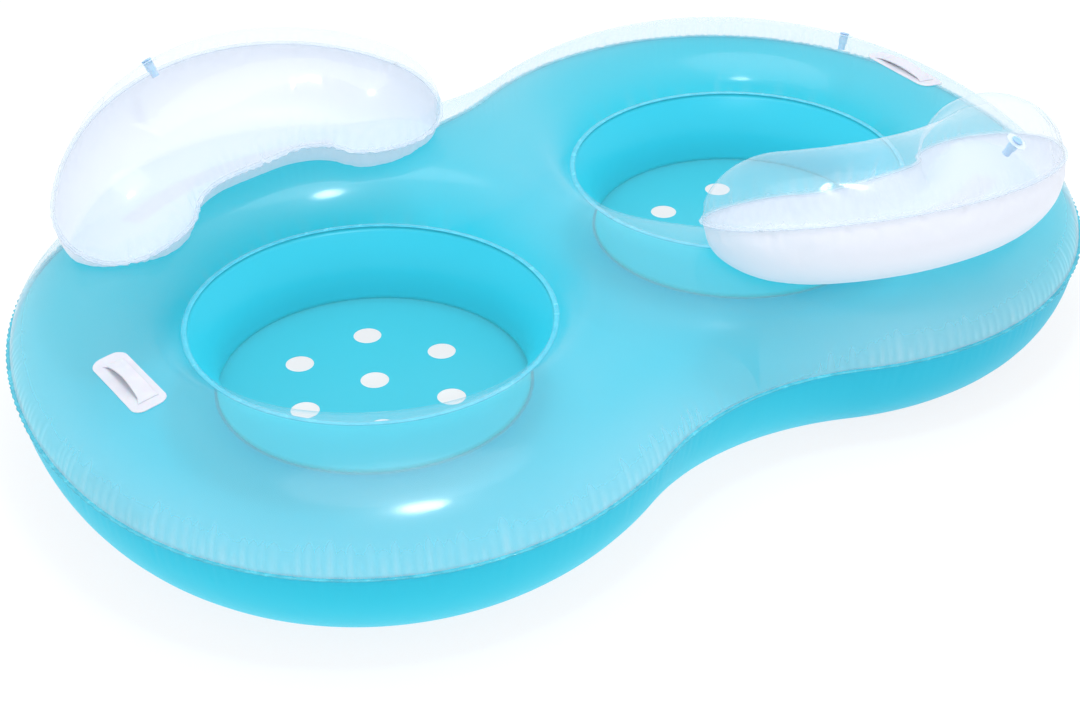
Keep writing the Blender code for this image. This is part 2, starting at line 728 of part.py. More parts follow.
def build_body(group, cutters, half, finishes):
    """The two sheets, their seam, the wells and the floors."""
    lower = (WELD / 2) + GAP
    loop = np.concatenate([half[:-1], -half[:-1]])
    flat = sheet_mesh(half, WELL_RADIUS, TOP_STEPS)
    inflate(flat, RIM_HEIGHT + lower, SEAM_HEIGHT + lower, CREST_HEIGHT)
    top = new_object("top_sheet", flat, group)
    surface = top.data.copy()
    thicken(top, SHEET)
    finish(top, finishes["clear"])

    flat = sheet_mesh(half, FLOOR_RADIUS, BOTTOM_STEPS)
    floor_edge = FLOOR_HEIGHT - FLOOR_SHEET / 2 - GAP
    sink(flat, half, SEAM_HEIGHT - lower, floor_edge)
    bmesh.ops.reverse_faces(flat, faces=flat.faces)
    bottom = new_object("bottom_sheet", flat, group)
    thicken(bottom, SHEET)
    finish(bottom, finishes["turquoise"])

    inner = at_height(offset_loop(loop, -SEAM_LIP_IN), SEAM_HEIGHT)
    outer = at_height(offset_loop(loop, SEAM_LIP_OUT), SEAM_HEIGHT)
    seam = flat_ring("seam_flange", group, inner, outer, WELD)
    finish(seam, finishes["seam"])

    inner = at_height(circle(WELL_RADIUS - RIM_LIP_IN, ROUND_STEPS, LEFT_WELL), RIM_HEIGHT)
    outer = at_height(circle(WELL_RADIUS + RIM_LIP_OUT, ROUND_STEPS, LEFT_WELL), RIM_HEIGHT)
    rim = flat_ring("well_left_rim", group, inner, outer, WELD)
    finish(rim, finishes["turquoise"])

    profile = []
    high, low = RIM_HEIGHT - lower, FLOOR_HEIGHT + FLOOR_SHEET / 2 + GAP
    for k in range(WALL_STEPS + 1):
        share = k / WALL_STEPS
        radius = WELL_RADIUS + (FLOOR_RADIUS - WELL_RADIUS) * share
        radius -= WALL_BULGE * math.sin(math.pi * share)
        profile.append((radius, high + (low - high) * share))
    wall = turned("well_left_wall", group, profile, ROUND_STEPS)
    thicken(wall, SHEET, 1.0)
    wall.location = (LEFT_WELL[0], 0.0, 0.0)
    finish(wall, finishes["turquoise"])

    edge = FLOOR_RADIUS + RIM_LIP_OUT
    disc = circle(edge, ROUND_STEPS, LEFT_WELL)
    floor_low = FLOOR_HEIGHT - FLOOR_SHEET / 2
    floor = prism("well_left_floor", group, disc, floor_low, floor_low + FLOOR_SHEET)
    floor.hide_render = False
    floor.display_type = "TEXTURED"
    spots = [LEFT_WELL]
    for k in range(6):
        turn = k * math.pi / 3
        spots.append(LEFT_WELL + DRAIN_CIRCLE * np.array([math.cos(turn), math.sin(turn)]))
    for k, spot in enumerate(spots):
        hole = circle(DRAIN_RADIUS, DRAIN_STEPS, spot)
        drill = prism(f"drain_{k}", cutters, hole, FLOOR_HEIGHT / 2, FLOOR_HEIGHT * 2)
        boolean(floor, drill, "DIFFERENCE")
    finish(floor, finishes["turquoise"])
    return top, surface, (rim, wall, floor)


def build_handle(group, cutters, surface, finishes):
    """The left handle: a patch welded to the crown and a strap arched over it."""
    cutter = prism("handle_patch_outline", cutters, patch_loop(), SEAM_HEIGHT, CREST_HEIGHT * 2)
    patch = skin_over("handle_left_patch", group, surface, cutter, PATCH_LENGTH, PATCH_SHEET)
    grip = lay_grip(group, tree_of(patch))
    finish(patch, finishes["handle"])
    finish(grip, finishes["handle"])
    return patch, grip


def build_backrest(group, cutters, surface, tree, shapes, finishes):
    """The left backrest on its hinge, with its seam, weld strip and valve."""
    hinge = new_empty("backrest_left_hinge", group, (LEFT_WELL[0], HINGE_REACH, CREST_HEIGHT))
    start = WELD / 2 + GAP
    top = pillow_skin("backrest_left_top", group, PILLOW_CROWN, start)
    thicken(top, SHEET)
    under = pillow_skin("backrest_left_under", group, -PILLOW_BELLY, -start - SHEET)
    seat_on(under, tree, PILLOW_FOOT_CLEARANCE, under_ceiling)
    thicken(under, SHEET)
    inner = pillow_loop(1 - PILLOW_LIP_IN / PILLOW_HALF_WIDTH, 0.0)
    outer = pillow_loop(1 + PILLOW_LIP_OUT / PILLOW_HALF_WIDTH, 0.0)
    seam = flat_ring("backrest_left_seam", group, inner, outer, WELD)
    cutter = prism("strip_outline", cutters, strip_loop(), SEAM_HEIGHT, CREST_HEIGHT * 2)
    strip = skin_over("backrest_left_strip", group, surface, cutter, 2 * STRIP_HALF_ARC, WELD)
    finish(strip, finishes["turquoise"])
    for obj, paint in ((top, "clear"), (under, "white"), (seam, "seam")):
        finish(obj, finishes[paint], hinge)
    bpy.context.view_layer.update()
    spot = pillow_point(-PILLOW_VALVE_ARC, PILLOW_VALVE_OUT, PILLOW_CROWN)
    hit, normal = facet_at(tree_of(top), spot.x, spot.y)
    materials = (finishes["clear"], finishes["valve"], finishes["valve"])
    name = "backrest_left_valve"
    make_valve(name, shapes, hit, normal, group, cutters, top, materials, hinge)
    return hinge, strip


def main():
    """Builds the raft."""
    clear_scene()
    group = new_collection("pool_raft")
    cutters = new_collection("cutters", shown=False)
    finishes = {
        "clear": new_material("clear_vinyl", (0.90, 0.95, 1.00), 0.10, 0.25),
        "turquoise": new_material("turquoise_vinyl", (0.06, 0.60, 0.78), 0.25),
        "white": new_material("white_vinyl", (0.88, 0.90, 0.96), 0.25),
        "seam": new_material("seam_vinyl", (0.45, 0.80, 0.88), 0.30),
        "handle": new_material("handle_vinyl", (0.76, 0.79, 0.88), 0.35),
        "valve": new_material("valve_vinyl", (0.45, 0.62, 0.80), 0.30),
    }
    half = left_outline()
    top, surface, well = build_body(group, cutters, half, finishes)
    shapes = valve_shapes(cutters)
    tree = tree_of(top)
    handle = build_handle(group, cutters, surface, finishes)
    hinge, strip = build_backrest(group, cutters, surface, tree, shapes, finishes)
    reach = Vector((math.cos(RAFT_VALVE_TURN), math.sin(RAFT_VALVE_TURN))) * RAFT_VALVE_REACH
    hit, normal = facet_at(tree, reach.x - LEFT_WELL[0], reach.y)
    materials = (finishes["clear"], finishes["valve"], finishes["valve"])
    make_valve("raft_valve", shapes, hit, normal, group, cutters, top, materials)
    bpy.context.view_layer.update()
    for obj in (*well, *handle, strip, hinge):
        turn_copy(obj)


main()
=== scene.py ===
"""Looks of a two-seat inflatable pool raft: a clear top sheet welded to a turquoise bottom
sheet, two seat wells, two air backrests, grab handles and push-in valves. Metres, +Z up. The
raft repeats after half a turn about Z, so each left piece is copied to the right side."""

import json
import logging
import math
from dataclasses import dataclass
from enum import Enum
from typing import Iterable, Optional

import bmesh
import bpy
import numpy as np
from mathutils import Matrix, Vector
from mathutils.bvhtree import BVHTree


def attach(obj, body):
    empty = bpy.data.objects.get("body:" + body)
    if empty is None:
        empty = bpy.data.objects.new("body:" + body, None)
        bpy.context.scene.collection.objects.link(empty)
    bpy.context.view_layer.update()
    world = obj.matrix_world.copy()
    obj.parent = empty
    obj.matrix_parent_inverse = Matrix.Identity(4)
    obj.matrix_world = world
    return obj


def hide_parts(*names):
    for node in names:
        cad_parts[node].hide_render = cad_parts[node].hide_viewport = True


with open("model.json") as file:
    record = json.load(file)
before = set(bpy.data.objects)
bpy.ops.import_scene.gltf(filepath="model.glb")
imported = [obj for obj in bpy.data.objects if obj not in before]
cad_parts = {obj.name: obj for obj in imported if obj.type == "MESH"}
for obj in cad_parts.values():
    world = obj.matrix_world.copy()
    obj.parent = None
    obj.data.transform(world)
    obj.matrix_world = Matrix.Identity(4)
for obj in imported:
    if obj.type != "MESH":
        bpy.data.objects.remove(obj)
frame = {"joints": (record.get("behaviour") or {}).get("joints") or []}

LOG = logging.getLogger("pool_raft")
HALF_TURN = Matrix.Rotation(math.pi, 4, "Z")

# Height left for a weld, the two distances at which points merge, how sharply a layer follows
# the way a face looks, and the smallest number that is safe to divide by

SEAM_GAP = 0.0008
HAIR = 0.00005
CRUMB = 0.0001
FACING = 8
TINY = 1e-12


class Side(Enum):
    """The two halves of the raft."""

    LEFT = "left"
    RIGHT = "right"


class Slot(Enum):
    """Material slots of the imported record."""

    CLEAR = "clear_vinyl"
    TURQUOISE = "turquoise_vinyl"
    WHITE = "white_vinyl"
    SEAM = "seam_vinyl"
    HANDLE = "handle_vinyl"
    RING = "valve_ring_vinyl"
    VALVE = "valve_vinyl"


# Bench work: selecting, adding, shaping and finishing pieces


def deselect() -> None:
    """Leaves nothing selected or active."""
    if bpy.context.object and bpy.context.object.mode != "OBJECT":
        bpy.ops.object.mode_set(mode="OBJECT")
    for obj in bpy.context.selected_objects:
        obj.select_set(False)
    bpy.context.view_layer.objects.active = None


def take(obj: bpy.types.Object) -> bpy.types.Object:
    """Selects one object and makes it active.

    Args:
        obj: The object.

    Returns:
        The same object.
    """
    deselect()
    obj.select_set(True)
    bpy.context.view_layer.objects.active = obj
    return obj


def named(name: str) -> bpy.types.Object:
    """Names the primitive that was just added.

    Args:
        name: The piece's name.

    Returns:
        The active object.
    """
    obj = bpy.context.object
    obj.name = name
    obj.data.name = name
    return obj


def settle(obj: bpy.types.Object) -> bpy.types.Object:
    """Applies a piece's modifiers in order and leaves its place in its mesh.

    Args:
        obj: The piece.

    Returns:
        The same piece.
    """
    take(obj)
    for modifier in list(obj.modifiers):
        bpy.ops.object.modifier_apply(modifier=modifier.name)
    bpy.ops.object.transform_apply(location=True, rotation=True, scale=True)
    return obj


def tidy_mesh(obj: bpy.types.Object, distance: float = HAIR) -> bpy.types.Object:
    """Merges doubles, turns the faces outwards and shades them smooth.

    Args:
        obj: The piece.
        distance: Points nearer than this are merged.

    Returns:
        The same piece.
    """
    take(obj)
    bpy.ops.object.mode_set(mode="EDIT")
    bpy.ops.mesh.select_all(action="SELECT")
    bpy.ops.mesh.remove_doubles(threshold=distance)
    bpy.ops.mesh.normals_make_consistent(inside=False)
    bpy.ops.object.mode_set(mode="OBJECT")
    bpy.ops.object.shade_smooth()
    return obj


def thicken(obj: bpy.types.Object, wall: float, offset: float = -1.0) -> bpy.types.Object:
    """Gives a sheet its thickness.

    Args:
        obj: The sheet.
        wall: Thickness in metres.
        offset: -1 keeps the sheet as the outside, 0 is even on both sides.

    Returns:
        The thickened piece.
    """
    solid = obj.modifiers.new("wall", "SOLIDIFY")
    solid.thickness = wall
    solid.offset = offset
    return settle(obj)


def half_turn_copy(obj: bpy.types.Object, name: str) -> bpy.types.Object:
    """Copies a left piece to the right side with a mesh of its own.

    Args:
        obj: The left piece.
        name: The copy's name.

    Returns:
        The right piece.
    """
    copy = obj.copy()
    copy.data = obj.data.copy()
    copy.name = copy.data.name = name
    bpy.context.scene.collection.objects.link(copy)
    copy.data.transform(HALF_TURN)
    return copy


def dress(obj: bpy.types.Object, finish: bpy.types.Material, body: str,
          nodes: Iterable[str]) -> None:
    """Paints a piece, hangs it on its body and puts it in its CAD nodes' place.

    Args:
        obj: The finished piece.
        finish: Its material.
        body: The CAD body it rides on.
        nodes: The CAD nodes it stands for.
    """
    obj.data.materials.clear()
    obj.data.materials.append(finish)
    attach(obj, body)
    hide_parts(*nodes)
    LOG.info("%s: %d faces, rides on %s", obj.name, len(obj.data.polygons), body)


def blank(name: str, columns: int, rows: int) -> tuple[bpy.types.Object, np.ndarray, np.ndarray]:
    """Adds a flat gridded blank, from which a sheet is shaped.

    Args:
        name: The piece's name.
        columns: Number of cells along the blank.
        rows: Number of cells across it.

    Returns:
        The object, and the column and row of each of its points.
    """
    deselect()
    bpy.ops.mesh.primitive_grid_add(x_subdivisions=columns, y_subdivisions=rows, size=1.0)
    obj = named(name)
    points = np.empty(len(obj.data.vertices) * 3)
    obj.data.vertices.foreach_get("co", points)
    points = points.reshape(-1, 3)
    column = np.rint((points[:, 0] + 0.5) * columns).astype(int)
    row = np.rint((points[:, 1] + 0.5) * rows).astype(int)
    return obj, column, row


def shape_blank(obj: bpy.types.Object, points: np.ndarray) -> bpy.types.Object:
    """Moves a blank's points onto their form.

    Args:
        obj: The blank.
        points: Its points' new places.

    Returns:
        The same blank.
    """
    obj.data.vertices.foreach_set("co", np.ascontiguousarray(points).ravel())
    obj.data.update()
    return obj


def write_layer(obj: bpy.types.Object, name: str, values: np.ndarray) -> None:
    """Keeps a number for each point of a piece, for its material to read."""
    layer = obj.data.attributes.new(name, "FLOAT", "POINT")
    layer.data.foreach_set("value", values.astype(np.float32))


def read_layer(obj: bpy.types.Object, name: str) -> np.ndarray:
    """Reads back a number kept for each point of a piece.

    Args:
        obj: The piece.
        name: The number's name.

    Returns:
        The numbers.
    """
    values = np.empty(len(obj.data.vertices), np.float32)
    obj.data.attributes[name].data.foreach_get("value", values)
    return values.astype(float)


def read_points(obj: bpy.types.Object) -> np.ndarray:
    """The places of a piece's points.

    Args:
        obj: The piece.

    Returns:
        One row for each point.
    """
    points = np.empty(len(obj.data.vertices) * 3)
    obj.data.vertices.foreach_get("co", points)
    return points.reshape(-1, 3)


def read_normals(obj: bpy.types.Object) -> np.ndarray:
    """The normals at a piece's points.

    Args:
        obj: The piece.

    Returns:
        One row for each point.
    """
    normals = np.empty(len(obj.data.vertices) * 3)
    obj.data.vertex_normals.foreach_get("vector", normals)
    return normals.reshape(-1, 3)


def tree_of(obj: bpy.types.Object) -> BVHTree:
    """A search tree of a piece's mesh.

    Args:
        obj: The piece.

    Returns:
        The tree.
    """
    bm = bmesh.new()
    bm.from_mesh(obj.data)
    tree = BVHTree.FromBMesh(bm)
    bm.free()
    return tree


def height_on(tree: BVHTree, x: float, y: float) -> float:
    """Height of a surface under a plan point, or the ground's where there is none."""
    hit = tree.ray_cast(Vector((x, y, 1.0)), Vector((0.0, 0.0, -1.0)))[0]
    return hit.z if hit else 0.0


# Forms


def smooth_step(share: np.ndarray) -> np.ndarray:
    """Rises gently from 0 to 1 as its share does."""
    share = np.clip(share, 0, 1)
    return share * share * (3 - 2 * share)


@dataclass(frozen=True)
class RaftForm:
    """Plan outline and section heights of the rings."""

    spacing: float = 0.7686
    lobe: float = 0.5698
    oval: float = 0.0298
    oval_turn: float = math.radians(64)
    three_sided: float = 0.0111
    three_turn: float = math.radians(50.3)
    shift_along: float = 0.0012
    shift_across: float = -0.0177
    fillet: float = 0.442
    seam: float = 0.151
    crest: float = 0.270
    well: float = 0.2827
    rim: float = 0.180
    floor: float = 0.243
    floor_height: float = 0.064
    bulge: float = 0.020
    outer_curve: float = 0.118
    inner_curve: float = 0.110
    foot: float = 0.0005
    samples: int = 2880
    rounds: int = 8

    @property
    def left_well(self) -> np.ndarray:
        """Centre of the left well in plan."""
        return np.array([-self.spacing / 2, 0.0])

    def lobe_radius(self, turn: np.ndarray) -> np.ndarray:
        """Distance from a well's centre to the outline, by the angle from the lobe's own end.

        Args:
            turn: Angles in radians.

        Returns:
            Distances in metres.
        """
        oval = self.oval * np.cos(2 * (turn - self.oval_turn))
        three = self.three_sided * np.cos(3 * (turn - self.three_turn))
        shift = self.shift_along * np.cos(turn) + self.shift_across * np.sin(turn)
        return self.lobe + oval + three + shift

    def right_lobe(self) -> np.ndarray:
        """Points of the right lobe's edge.

        Returns:
            One row for each point.
        """
        turn = np.linspace(0, math.tau, self.samples, endpoint=False)
        radius = self.lobe_radius(turn)
        return np.stack([self.spacing / 2 + radius * np.cos(turn), radius * np.sin(turn)], axis=1)

    def waist_arc(self, lobe: np.ndarray) -> tuple[np.ndarray, list[np.ndarray]]:
        """Finds the arc that touches both lobes at the front of the waist.

        Args:
            lobe: Points of the right lobe's edge.

        Returns:
            The arc's centre, and the points where it touches.
        """
        centre = np.array([0.0, -self.spacing])
        for _ in range(self.rounds):
            arms, reach = [], []
            for edge in (-lobe, lobe):
                away = centre - edge
                length = np.linalg.norm(away, axis=1)
                near = length.argmin()
                arms.append(away[near] / length[near])
                reach.append(length[near])
            centre = centre + np.linalg.solve(np.array(arms), self.fillet - np.array(reach))
        return centre, [centre - arm * self.fillet for arm in arms]

    def outline(self, angles: np.ndarray) -> np.ndarray:
        """Points of the outline at angles about the raft's middle.

        Args:
            angles: Angles in radians.

        Returns:
            One row for each angle.
        """
        lobe = self.right_lobe()
        turn = np.arctan2(lobe[:, 1], lobe[:, 0])
        length = np.linalg.norm(lobe, axis=1)
        reach = np.maximum(np.interp(angles, turn, length, period=math.tau),
                           np.interp(angles + math.pi, turn, length, period=math.tau))
        centre, touches = self.waist_arc(lobe)
        middle = math.atan2(centre[1], centre[0])
        low, high = sorted(math.atan2(y, x) - middle for x, y in touches)
        for half_turn in (0, math.pi):
            swing = (angles - half_turn - middle + math.pi) % math.tau - math.pi
            across = np.linalg.norm(centre) * np.sin(swing)
            along = np.linalg.norm(centre) * np.cos(swing)
            chord = np.sqrt((self.fillet**2 - across**2).clip(0))
            reach = np.where((swing > low) & (swing < high), along - chord, reach)
        return np.stack([reach * np.cos(angles), reach * np.sin(angles)], axis=1)

    def half(self, steps: int) -> np.ndarray:
        """The outline's left half, evenly stepped from the back of the waist to its front.

        Args:
            steps: Number of steps.

        Returns:
            Its points, one more than its steps.
        """
        search = np.linspace(math.pi / 4, 3 * math.pi / 4, self.samples)
        back = search[np.linalg.norm(self.outline(search), axis=1).argmin()]
        path = self.outline(np.linspace(back, back + math.pi, 2 * self.samples))
        run = np.concatenate([[0.0], np.cumsum(np.linalg.norm(np.diff(path, axis=0), axis=1))])
        at = np.linspace(0, run[-1], steps + 1)
        return np.stack([np.interp(at, run, path[:, k]) for k in range(2)], axis=1)


class LobeGrid:
    """Plan grid of one sheet's left lobe: columns round the well, rows out to the outline."""

    most_rounds: int = 3000
    settled_share: float = 1e-14
    least_weight: float = 1e-9
    least_rise: float = 1e-6

    def __init__(self, form: RaftForm, inner: float, around: int, waist: int, rows: int) -> None:
        """Lays the grid out.

        Args:
            form: The raft's form.
            inner: Radius of the sheet's inner edge.
            around: Columns along the outline.
            waist: Columns across the waist.
            rows: Rows from the inner edge outwards.
        """
        self.form, self.around, self.waist, self.rows = form, around, waist, rows
        half = form.half(around)
        steps = np.arange(1, waist)
        line = -np.cos(math.pi * steps / waist)[:, None] * half[0][None, :]
        loop = np.concatenate([half, line])
        self.columns = len(loop)
        self.on_waist = np.arange(self.columns) > around
        arms = loop - form.left_well
        hub = form.left_well + arms / np.linalg.norm(arms, axis=1, keepdims=True) * inner
        step = np.arange(rows + 1) / rows
        both = (1 - np.cos(math.pi * step)) / 2
        one = 1 - np.cos(math.pi * step / 2)
        inside = np.linalg.norm(half[0]) - np.linalg.norm(loop, axis=1)
        open_end = np.where(self.on_waist, smooth_step(inside / form.outer_curve), 0.0)[:, None]
        spread = open_end * one + (1 - open_end) * both
        self.plan = hub[:, None, :] + (loop - hub)[:, None, :] * spread[:, :, None]
        run = np.linalg.norm(np.diff(half, axis=0), axis=1)
        self.along = np.zeros(self.columns)
        self.along[:around + 1] = np.concatenate([[0.0], np.cumsum(run)])
        self.length = self.along[around]
        turn = np.unwrap(np.arctan2(arms[:, 1], arms[:, 0]))
        self.around_well = (turn - turn[0]) * inner

    def free_points(self) -> np.ndarray:
        """For each point, the number of the point that moves as it does across the waist.

        Returns:
            The numbers.
        """
        number = np.arange(self.columns * (self.rows + 1)).reshape(self.columns, -1)
        same = number.copy()
        for k in range(self.waist // 2 + 1, self.waist):
            same[self.around + k, self.rows] = number[self.around + self.waist - k, self.rows]
        return same.ravel()

    def springs(self) -> tuple[np.ndarray, np.ndarray, np.ndarray, np.ndarray]:
        """Edges of the grid's triangles with their cotangent weights, and each point's area.

        Returns:
            Both ends of each edge, its weight, and the areas.
        """
        number = np.arange(self.columns * (self.rows + 1)).reshape(self.columns, -1)
        a, d = number[:, :-1], number[:, 1:]
        b, c = np.roll(a, -1, axis=0), np.roll(d, -1, axis=0)
        tris = np.concatenate([np.stack([a, d, c], -1).reshape(-1, 3),
                               np.stack([a, c, b], -1).reshape(-1, 3)])
        points = self.plan.reshape(-1, 2)
        start, end, weight = [], [], []
        area = np.zeros(len(points))
        for k in range(3):
            p, q, r = tris[:, k], tris[:, (k + 1) % 3], tris[:, (k + 2) % 3]
            u, v = points[p] - points[r], points[q] - points[r]
            cross = np.abs(u[:, 0] * v[:, 1] - u[:, 1] * v[:, 0]).clip(TINY)
            start.append(p)
            end.append(q)
            weight.append((u * v).sum(axis=1) / cross / 2)
            area += np.bincount(r, cross / 6, len(points))
        return np.concatenate(start), np.concatenate(end), np.concatenate(weight), area

    def relax(self, load: np.ndarray, held: np.ndarray, start: np.ndarray) -> np.ndarray:
        """Settles a membrane over the grid by conjugate gradients.

        Args:
            load: Upward load at each point.
            held: Which points are held.
            start: Starting heights, which the held points keep.

        Returns:
            The settled heights.
        """
        same = self.free_points()
        one, two, weight, _ = self.springs()
        one, two = same[one], same[two]
        count = len(same)
        diagonal = np.bincount(one, weight, count) + np.bincount(two, weight, count)
        diagonal[np.abs(diagonal) < self.least_weight] = 1.0
        free = ~held & (same == np.arange(count))
        load = np.bincount(same, load, count)

        def pull(value: np.ndarray) -> np.ndarray:
            """Force of the springs at each point."""
            force = weight * (value[one] - value[two])
            return np.bincount(one, force, count) - np.bincount(two, force, count)

        height = start.copy()
        rest = (load - pull(height)) * free
        step = rest / diagonal
        size = rest @ step
        first = size
        for _ in range(self.most_rounds):
            if size < first * self.settled_share:
                break
            force = pull(step) * free
            share = size / (step @ force)
            height += share * step
            rest -= share * force
            guess = rest / diagonal
            after = rest @ guess
            step = guess + after / size * step
            size = after
        return height[same]

    def inflated(self, rim: float, seam: float, crest: float) -> np.ndarray:
        """Heights of a sheet raised by air, held at its two welds.

        Args:
            rim: Height of the well's weld.
            seam: Height of the outer seam.
            crest: Height of the highest point.

        Returns:
            Heights by column and row.
        """
        at_rim = np.zeros((self.columns, self.rows + 1), bool)
        at_rim[:, 0] = True
        at_seam = np.zeros_like(at_rim)
        at_seam[~self.on_waist, -1] = True
        held = (at_rim | at_seam).ravel()
        start = np.where(at_rim, rim, seam).ravel()
        none = np.zeros(len(start))
        base = self.relax(none, held, start)
        load = self.springs()[3]
        rise = np.sqrt(2 * self.relax(load, held, none).clip(0))
        free = ~held
        lift = ((crest - base[free]) / rise[free].clip(self.least_rise)).min()
        return (base + lift * rise).reshape(self.columns, -1)

    def away_from_seam(self, points: np.ndarray) -> np.ndarray:
        """Distance along each column from the outer seam, and far away across the waist.

        Args:
            points: The sheet's points by column and row.

        Returns:
            Distances by column and row.
        """
        run = np.linalg.norm(np.diff(points, axis=1), axis=2)
        away = np.zeros(points.shape[:2])
        away[:, :-1] = np.cumsum(run[:, ::-1], axis=1)[:, ::-1]
        away[self.on_waist] += self.form.lobe
        return away

    def away_from_well(self, points: np.ndarray) -> np.ndarray:
        """Distance along each column from the sheet's inner edge.

        Args:
            points: The sheet's points by column and row.

        Returns:
            Distances by column and row.
        """
        run = np.linalg.norm(np.diff(points, axis=1), axis=2)
        away = np.zeros(points.shape[:2])
        away[:, 1:] = np.cumsum(run, axis=1)
        return away

    def normals(self, points: np.ndarray) -> np.ndarray:
        """Upward normals of a shaped grid.

        Args:
            points: The sheet's points by column and row.

        Returns:
            Normals by column and row.
        """
        around = np.roll(points, -1, axis=0) - np.roll(points, 1, axis=0)
        out = np.gradient(points, axis=1)
        normal = np.cross(out, around)
        normal /= np.linalg.norm(normal, axis=2, keepdims=True).clip(TINY)
        return normal

    def make(self, name: str, points: np.ndarray, layers: dict[str, np.ndarray]) -> bpy.types.Object:
        """Shapes a blank over the grid, joins it to its half-turn copy and merges the waist.

        Args:
            name: The sheet's name.
            points: Its points by column and row.
            layers: Numbers to keep for each point.

        Returns:
            The sheet of both lobes.
        """
        obj, column, row = blank(name, self.columns, self.rows)
        wrapped = column % self.columns
        shape_blank(obj, points[wrapped, row])
        for layer, values in layers.items():
            write_layer(obj, layer, values[wrapped, row])
        other = half_turn_copy(obj, name + "_other")
        take(obj)
        other.select_set(True)
        bpy.ops.object.join()
        return tidy_mesh(obj)


@dataclass(frozen=True)
class Gathers:
    """Pleats that a weld draws into a sheet, square to the weld and fading away from it."""

    seed: int
    narrow: float
    wide: float
    shallow: float
    deep: float
    short: float
    long: float
    rarity: float = 1.4
    start: float = 0.006
    start_share: float = 0.35

    def depth(self, along: np.ndarray, away: np.ndarray, total: float) -> np.ndarray:
        """Depth of the pleats over a sheet.

        Args:
            along: Distance of each point along the weld.
            away: Distance of each point from the weld.
            total: The weld's length.

        Returns:
            How far each point lies below the unpleated sheet.
        """
        rng = np.random.default_rng(self.seed)
        count = int(total / self.narrow)
        width = rng.uniform(self.narrow, self.wide, count)
        width = width[:max(3, int(np.searchsorted(np.cumsum(width), total)))]
        width *= total / width.sum()
        edge = np.concatenate([[0.0], np.cumsum(width)])
        depth = self.shallow + (self.deep - self.shallow) * rng.random(len(width)) ** self.rarity
        length = rng.uniform(self.short, self.long, len(width))
        pleat = np.clip(np.searchsorted(edge, along % total, side="right") - 1, 0, len(width) - 1)
        share = (along % total - edge[pleat]) / width[pleat]
        fade = 1 - smooth_step(away / length[pleat])
        start = self.start_share + (1 - self.start_share) * smooth_step(away / self.start)
        return depth[pleat] * np.sin(math.pi * share) ** 2 * fade * start


# Finishes


